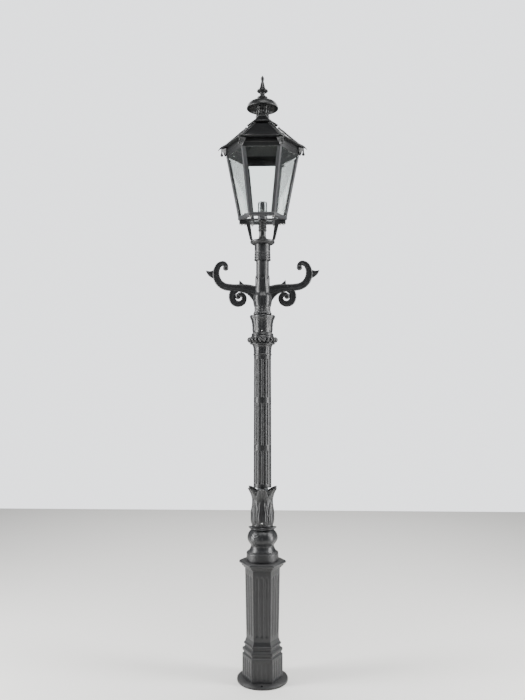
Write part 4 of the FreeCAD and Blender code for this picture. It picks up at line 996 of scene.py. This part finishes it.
# lantern frame, glass and lamp holder
soften("lantern_ring", 1.4, frameCoat, "lantern_paint")
soften("glazing_beads", 0.9, frameCoat, "lantern_paint")
soften("pane_clips", 0.7, turnedSteel, "stainless")
soften("fascia_band", 1.2, powderCoat, "lantern_paint")
soften("roof_hinge_brackets", 0.7, powderCoat, "lantern_paint")
soften("roof_hinge_straps", 0.7, powderCoat, "lantern_paint")
soften("roof_hinge_pins", 0.5, turnedSteel, "stainless")
soften("eave_corbels", 2.4, powderCoat, "lantern_paint")
for number in range(1, 7):
    soften(f"corner_post_{number}", 0.9, frameCoat, "lantern_paint")
    pane = soften(f"glass_pane_{number}", 0.5, floatGlass, "clear_glass")
    pane.visible_shadow = False  # lamps shine through float glass

dropSizes = {"ball": 8.5, "reach": 230, "neck": 3.8, "collar": 5.2}


def makeDrops():
    s = dropSizes
    low, high = foot("drop_balls"), head("drop_balls")
    centre = low + s["ball"]
    ball = [(s["ball"] * math.sin(math.pi * t), -s["ball"] * math.cos(math.pi * t))
            for t in spread(0.04, 0.86, 13)]
    drop = lathe(ball + [(s["neck"], s["ball"]), (s["neck"], s["ball"] + 1), (s["collar"], s["ball"] + 2),
                         (s["collar"], s["ball"] + 4), (s["neck"], s["ball"] + 5),
                         (s["neck"], high - centre)], 24)
    drops = placedRound(drop, 6, s["reach"], centre, powderCoat)
    addPiece("drops.turned", gathered(drops), powderCoat, "drop_balls", None, 50)


makeDrops()

holderLow, holderHigh = foot("lamp_holder"), head("lamp_holder")
makeTurned("lamp_holder", [(22, holderLow), (25, holderLow + 1), (25.5, holderLow + 4),
                           (25.5, holderLow + 20), (24, holderLow + 22), (24, holderLow + 25),
                           (25.5, holderLow + 27), (25.5, holderHigh - 4), (24.5, holderHigh - 1),
                           (22.5, holderHigh), (19.5, holderHigh - 0.5), (18.6, holderHigh - 3),
                           (18.6, holderLow + 31), (17, holderLow + 30)], satinAlloy, bore=1.0, sides=72,
           soft=1.0)

ringLow = foot("lantern_ring")
fixingSizes = {"nut": (6, 8, 3, 7), "nutReach": 124, "boltReach": (119, 101), "boltDrop": 22}
nutSpots = [placedRound(hexNut(*fixingSizes["nut"]), 2, fixingSizes["nutReach"], ringLow, turnedSteel,
                        start, 60)
            for start in (60, 240)]
boltHead = [(1.5, -7), (4.5, -6), (6, -3.6), (6.2, -2.2), (8, -2), (8, 0)]
cradleBolts = [placedRound(lathe(boltHead, 24), 2, reach, ringLow - fixingSizes["boltDrop"], turnedSteel)
               for reach in fixingSizes["boltReach"]]
addPiece("ring.fixings", gathered(*nutSpots, *cradleBolts), turnedSteel, "ring_fixings", None)
print("lantern frame done")

# roof
roofSizes = {"eave": 234, "head": 66, "fascia": 195}
roofFoot, roofHead = foot("roof_shell"), head("roof_shell")


def makeRoof():
    s = roofSizes
    slope = [(s["eave"], roofFoot + 4), (205, roofFoot + 17), (174, roofFoot + 42), (146, roofFoot + 65),
             (116, roofFoot + 91), (88, roofFoot + 112), (s["head"], roofHead)]
    outer = [(s["eave"] - 3, roofFoot), (s["eave"], roofFoot + 0.4)] + softLine(slope, 14, 12)
    inner = [(60, roofHead), (82, roofFoot + 108), (110, roofFoot + 86), (140, roofFoot + 61),
             (168, roofFoot + 36), (s["fascia"], roofFoot + 9), (s["fascia"], roofFoot)]
    shares = spread(-1, 1, 9)
    addPiece("roof.sheet", skin(bmesh.new(), [hexRing(r, z, shares) for r,
                                              z in [tuple(p) for p in outer] + inner]), powderCoat,
             "roof_shell", None, 30)


def makeHipRibs():
    # a pressed double bead over each hip, drooping past the eave as a pointed tip
    line = softLine([(250, roofFoot - 12), (244, roofFoot - 4), (236, roofFoot + 2), (222, roofFoot + 10),
                     (205, roofFoot + 18), (174, roofFoot + 43), (146, roofFoot + 66), (116, roofFoot + 92),
                     (98, roofFoot + 105), (90, roofHead - 9)], 12, 6)
    section = [(-10, -2.5), (-9.5, 2), (-7.5, 4.6), (-5, 5), (-3, 3.4), (0, 2.2), (3, 3.4), (5, 5),
               (7.5, 4.6), (9.5, 2), (10, -2.5), (0, -4)]
    shape = bmesh.new()
    for number in range(6):
        turn = math.radians(60 * number)
        out, along = Vector((math.cos(turn), math.sin(turn), 0)), Vector((-math.sin(turn), math.cos(turn), 0))
        rings = []
        for n, (radius, level) in enumerate(line):
            near = smooth(252 - radius, 0, 26)
            wide, tall = 0.12 + 0.88 * near, 0.35 + 0.65 * near
            before, after = line[max(n - 1, 0)], line[min(n + 1, len(line) - 1)]
            run = Vector((before[0] - after[0], after[1] - before[1])).normalized()
            lift = out * run.y + Vector((0, 0, run.x))
            centre = out * radius + Vector((0, 0, level))
            rings.append([centre + along * a * wide + lift * b * tall for a, b in section])
        skin(shape, rings, loop=False)
    addPiece("hip.ribs", shape, powderCoat, "hip_ribs", None, 40)


def makeSkirt():
    low, high = foot("roof_skirt"), head("roof_skirt")
    line = softLine([(78, low - 2), (87.6, low + 1), (88, low + 8), (82, low + 11), (62, low + 24),
                     (46, low + 37), (39, low + 46), (39, high)], 1.6, 5)
    rings = [hexRing(r, z, spread(-1, 1, 7)) for r, z in line]
    rings += [hexRing(29, high, spread(-1, 1, 7)), hexRing(29, low, spread(-1, 1, 7))]
    addPiece("skirt.cast", skin(bmesh.new(), rings), powderCoat, "roof_skirt", None, 30)


ventSizes = {"petals": 10, "wide": 7.0, "thick": 2.2}


def makeVent():
    s = ventSizes
    low, high = foot("vent_crown"), head("vent_crown")
    petal = bmesh.new()
    rings = []
    for t in spread(0, 1, 14):
        reach = 31 + 3 * math.sin(math.pi * min(1, t * 1.6)) + 10 * t ** 1.8
        wide = s["wide"] * (0.72 + 0.38 * math.sin(math.pi * t) ** 2)
        rings.append([(reach + s["thick"] * math.sin(2 * math.pi * k / 12),
                       wide * math.cos(2 * math.pi * k / 12) * (0.9 + 0.2 * t),
                       low + 4 + (high - low - 6) * t) for k in range(12)])
    skin(petal, rings, loop=False)
    petals = placedRound(petal, s["petals"], 0, 0, powderCoat, start=18)
    rim = lathe([(34, low), (36.5, low + 1), (36.5, low + 5), (33.5, low + 8), (30, low + 8)], 64)
    flue = lathe([(25, low), (25, high - 6), (27, high - 4)], 48)
    top = lathe([(43, high - 6), (46, high - 4), (46, high - 1), (44, high)], 64)
    rings = [meshOf(ring) for ring in (rim, flue, top)]
    addPiece("vent.crown", gathered(petals, *rings), powderCoat, "vent_crown", None, 45)


makeRoof()
makeHipRibs()
makeSkirt()
makeVent()

hoodTop = head("hood")
brim = head("vent_crown")
makeTurned("hood", [(46, brim), (51, brim + 1), (60, brim + 9), (76, brim - 2), (85, brim - 13),
                    (86.5, brim - 14), (89, brim - 12), (88.5, brim - 5), (86, brim + 3), (82, brim + 11),
                    (77, brim + 17), (70, brim + 22), (61, brim + 27), (52, brim + 31), (44, brim + 34),
                    (36, brim + 38), (30, hoodTop), (12, hoodTop)], powderCoat, None, 96, 0.5,
           3, crease=40)

finialLow, finialHigh = foot("finial"), head("finial")
makeTurned("finial", [(22, finialLow), (25, finialLow + 0.5), (30, finialLow + 4), (30.5, finialLow + 8),
                      (29, finialLow + 12), (22, finialLow + 15), (15, finialLow + 20),
                      (13.5, finialLow + 28), (15, finialLow + 35), (24, finialLow + 40),
                      (31, finialLow + 45), (31.5, finialLow + 48), (30, finialLow + 52),
                      (20, finialLow + 56), (16, finialLow + 66), (12.5, finialLow + 80),
                      (9.5, finialLow + 94), (6.8, finialLow + 103), (7.5, finialLow + 107),
                      (10, finialLow + 114), (10, finialLow + 120), (7.5, finialLow + 126),
                      (3, finialHigh - 4), (1.4, finialHigh)], powderCoat, None, 64, 0.5, 4,
           crease=60)
print("roof done")

# floor, light and camera
floorSizes = {"half": (8, 5.4, 1), "middle": (0, -0.6, 0)}  # in metres
floorMesh = bpy.data.meshes.new("studio floor")
ground = bmesh.new()
bmesh.ops.create_grid(ground, x_segments=1, y_segments=1, size=1)
bmesh.ops.scale(ground, verts=ground.verts, vec=floorSizes["half"])
bmesh.ops.translate(ground, verts=ground.verts, vec=floorSizes["middle"])
ground.to_mesh(floorMesh)
ground.free()
studioFloor = bpy.data.objects.new("studio floor", floorMesh)
bpy.context.collection.objects.link(studioFloor)
floorPaint, _, floorShader, _ = newMaterial("pale studio floor")
floorShader.inputs["Base Color"].default_value = hexColour("#e4e3e0")
floorShader.inputs["Roughness"].default_value = 0.75
floorMesh.materials.append(floorPaint)

studio = bpy.data.worlds.new("studio")
studio.use_nodes = True
bpy.context.scene.world = studio
sky = studio.node_tree.nodes["Background"]
sky.inputs["Color"].default_value = hexColour("#e9ebee")
# the backdrop is bright to look at, but lights the piece only a little
seen = addNode(studio.node_tree, "ShaderNodeLightPath").outputs["Is Camera Ray"]
studio.node_tree.links.new(maths(studio.node_tree, "MULTIPLY_ADD", seen, 2.5, 0.14), sky.inputs["Strength"])


def softBox(name, spot, target, size, power):
    lamp = bpy.data.lights.new(name, "AREA")
    lamp.shape = "RECTANGLE"
    lamp.size, lamp.size_y = size
    lamp.energy = power
    box = bpy.data.objects.new(name, lamp)
    box.location = spot
    box.rotation_euler = (Vector(target) - Vector(spot)).to_track_quat("-Z", "Y").to_euler()
    bpy.context.collection.objects.link(box)


softBox("left box", (-3.2, -0.7, 2.2), (0, 0, 1.6), (1.0, 4.2), 300)
softBox("right box", (3.2, -0.6, 2.2), (0, 0, 1.6), (1.0, 4.2), 270)
softBox("top box", (0.5, -2.5, 5.6), (0, 0, 1.8), (3.0, 2.0), 130)
softBox("floor wash", (0, 3.2, 5.5), (0, 2.4, 0), (9.0, 3.0), 420)

viewSizes = {"distance": 3.78, "height": 1.70, "turn": 2.0, "lens": 34.5, "shiftY": 0.039}
turn = math.radians(viewSizes["turn"])
lens = bpy.data.cameras.new("view")
lens.lens = viewSizes["lens"]
lens.sensor_width = 36
lens.shift_y = viewSizes["shiftY"]
lens.clip_end = 200
camera = bpy.data.objects.new("view", lens)
back = viewSizes["distance"]
camera.location = (back * math.sin(turn), -back * math.cos(turn), viewSizes["height"])
camera.rotation_euler = (math.radians(90), 0, turn)
bpy.context.collection.objects.link(camera)
bpy.context.scene.camera = camera
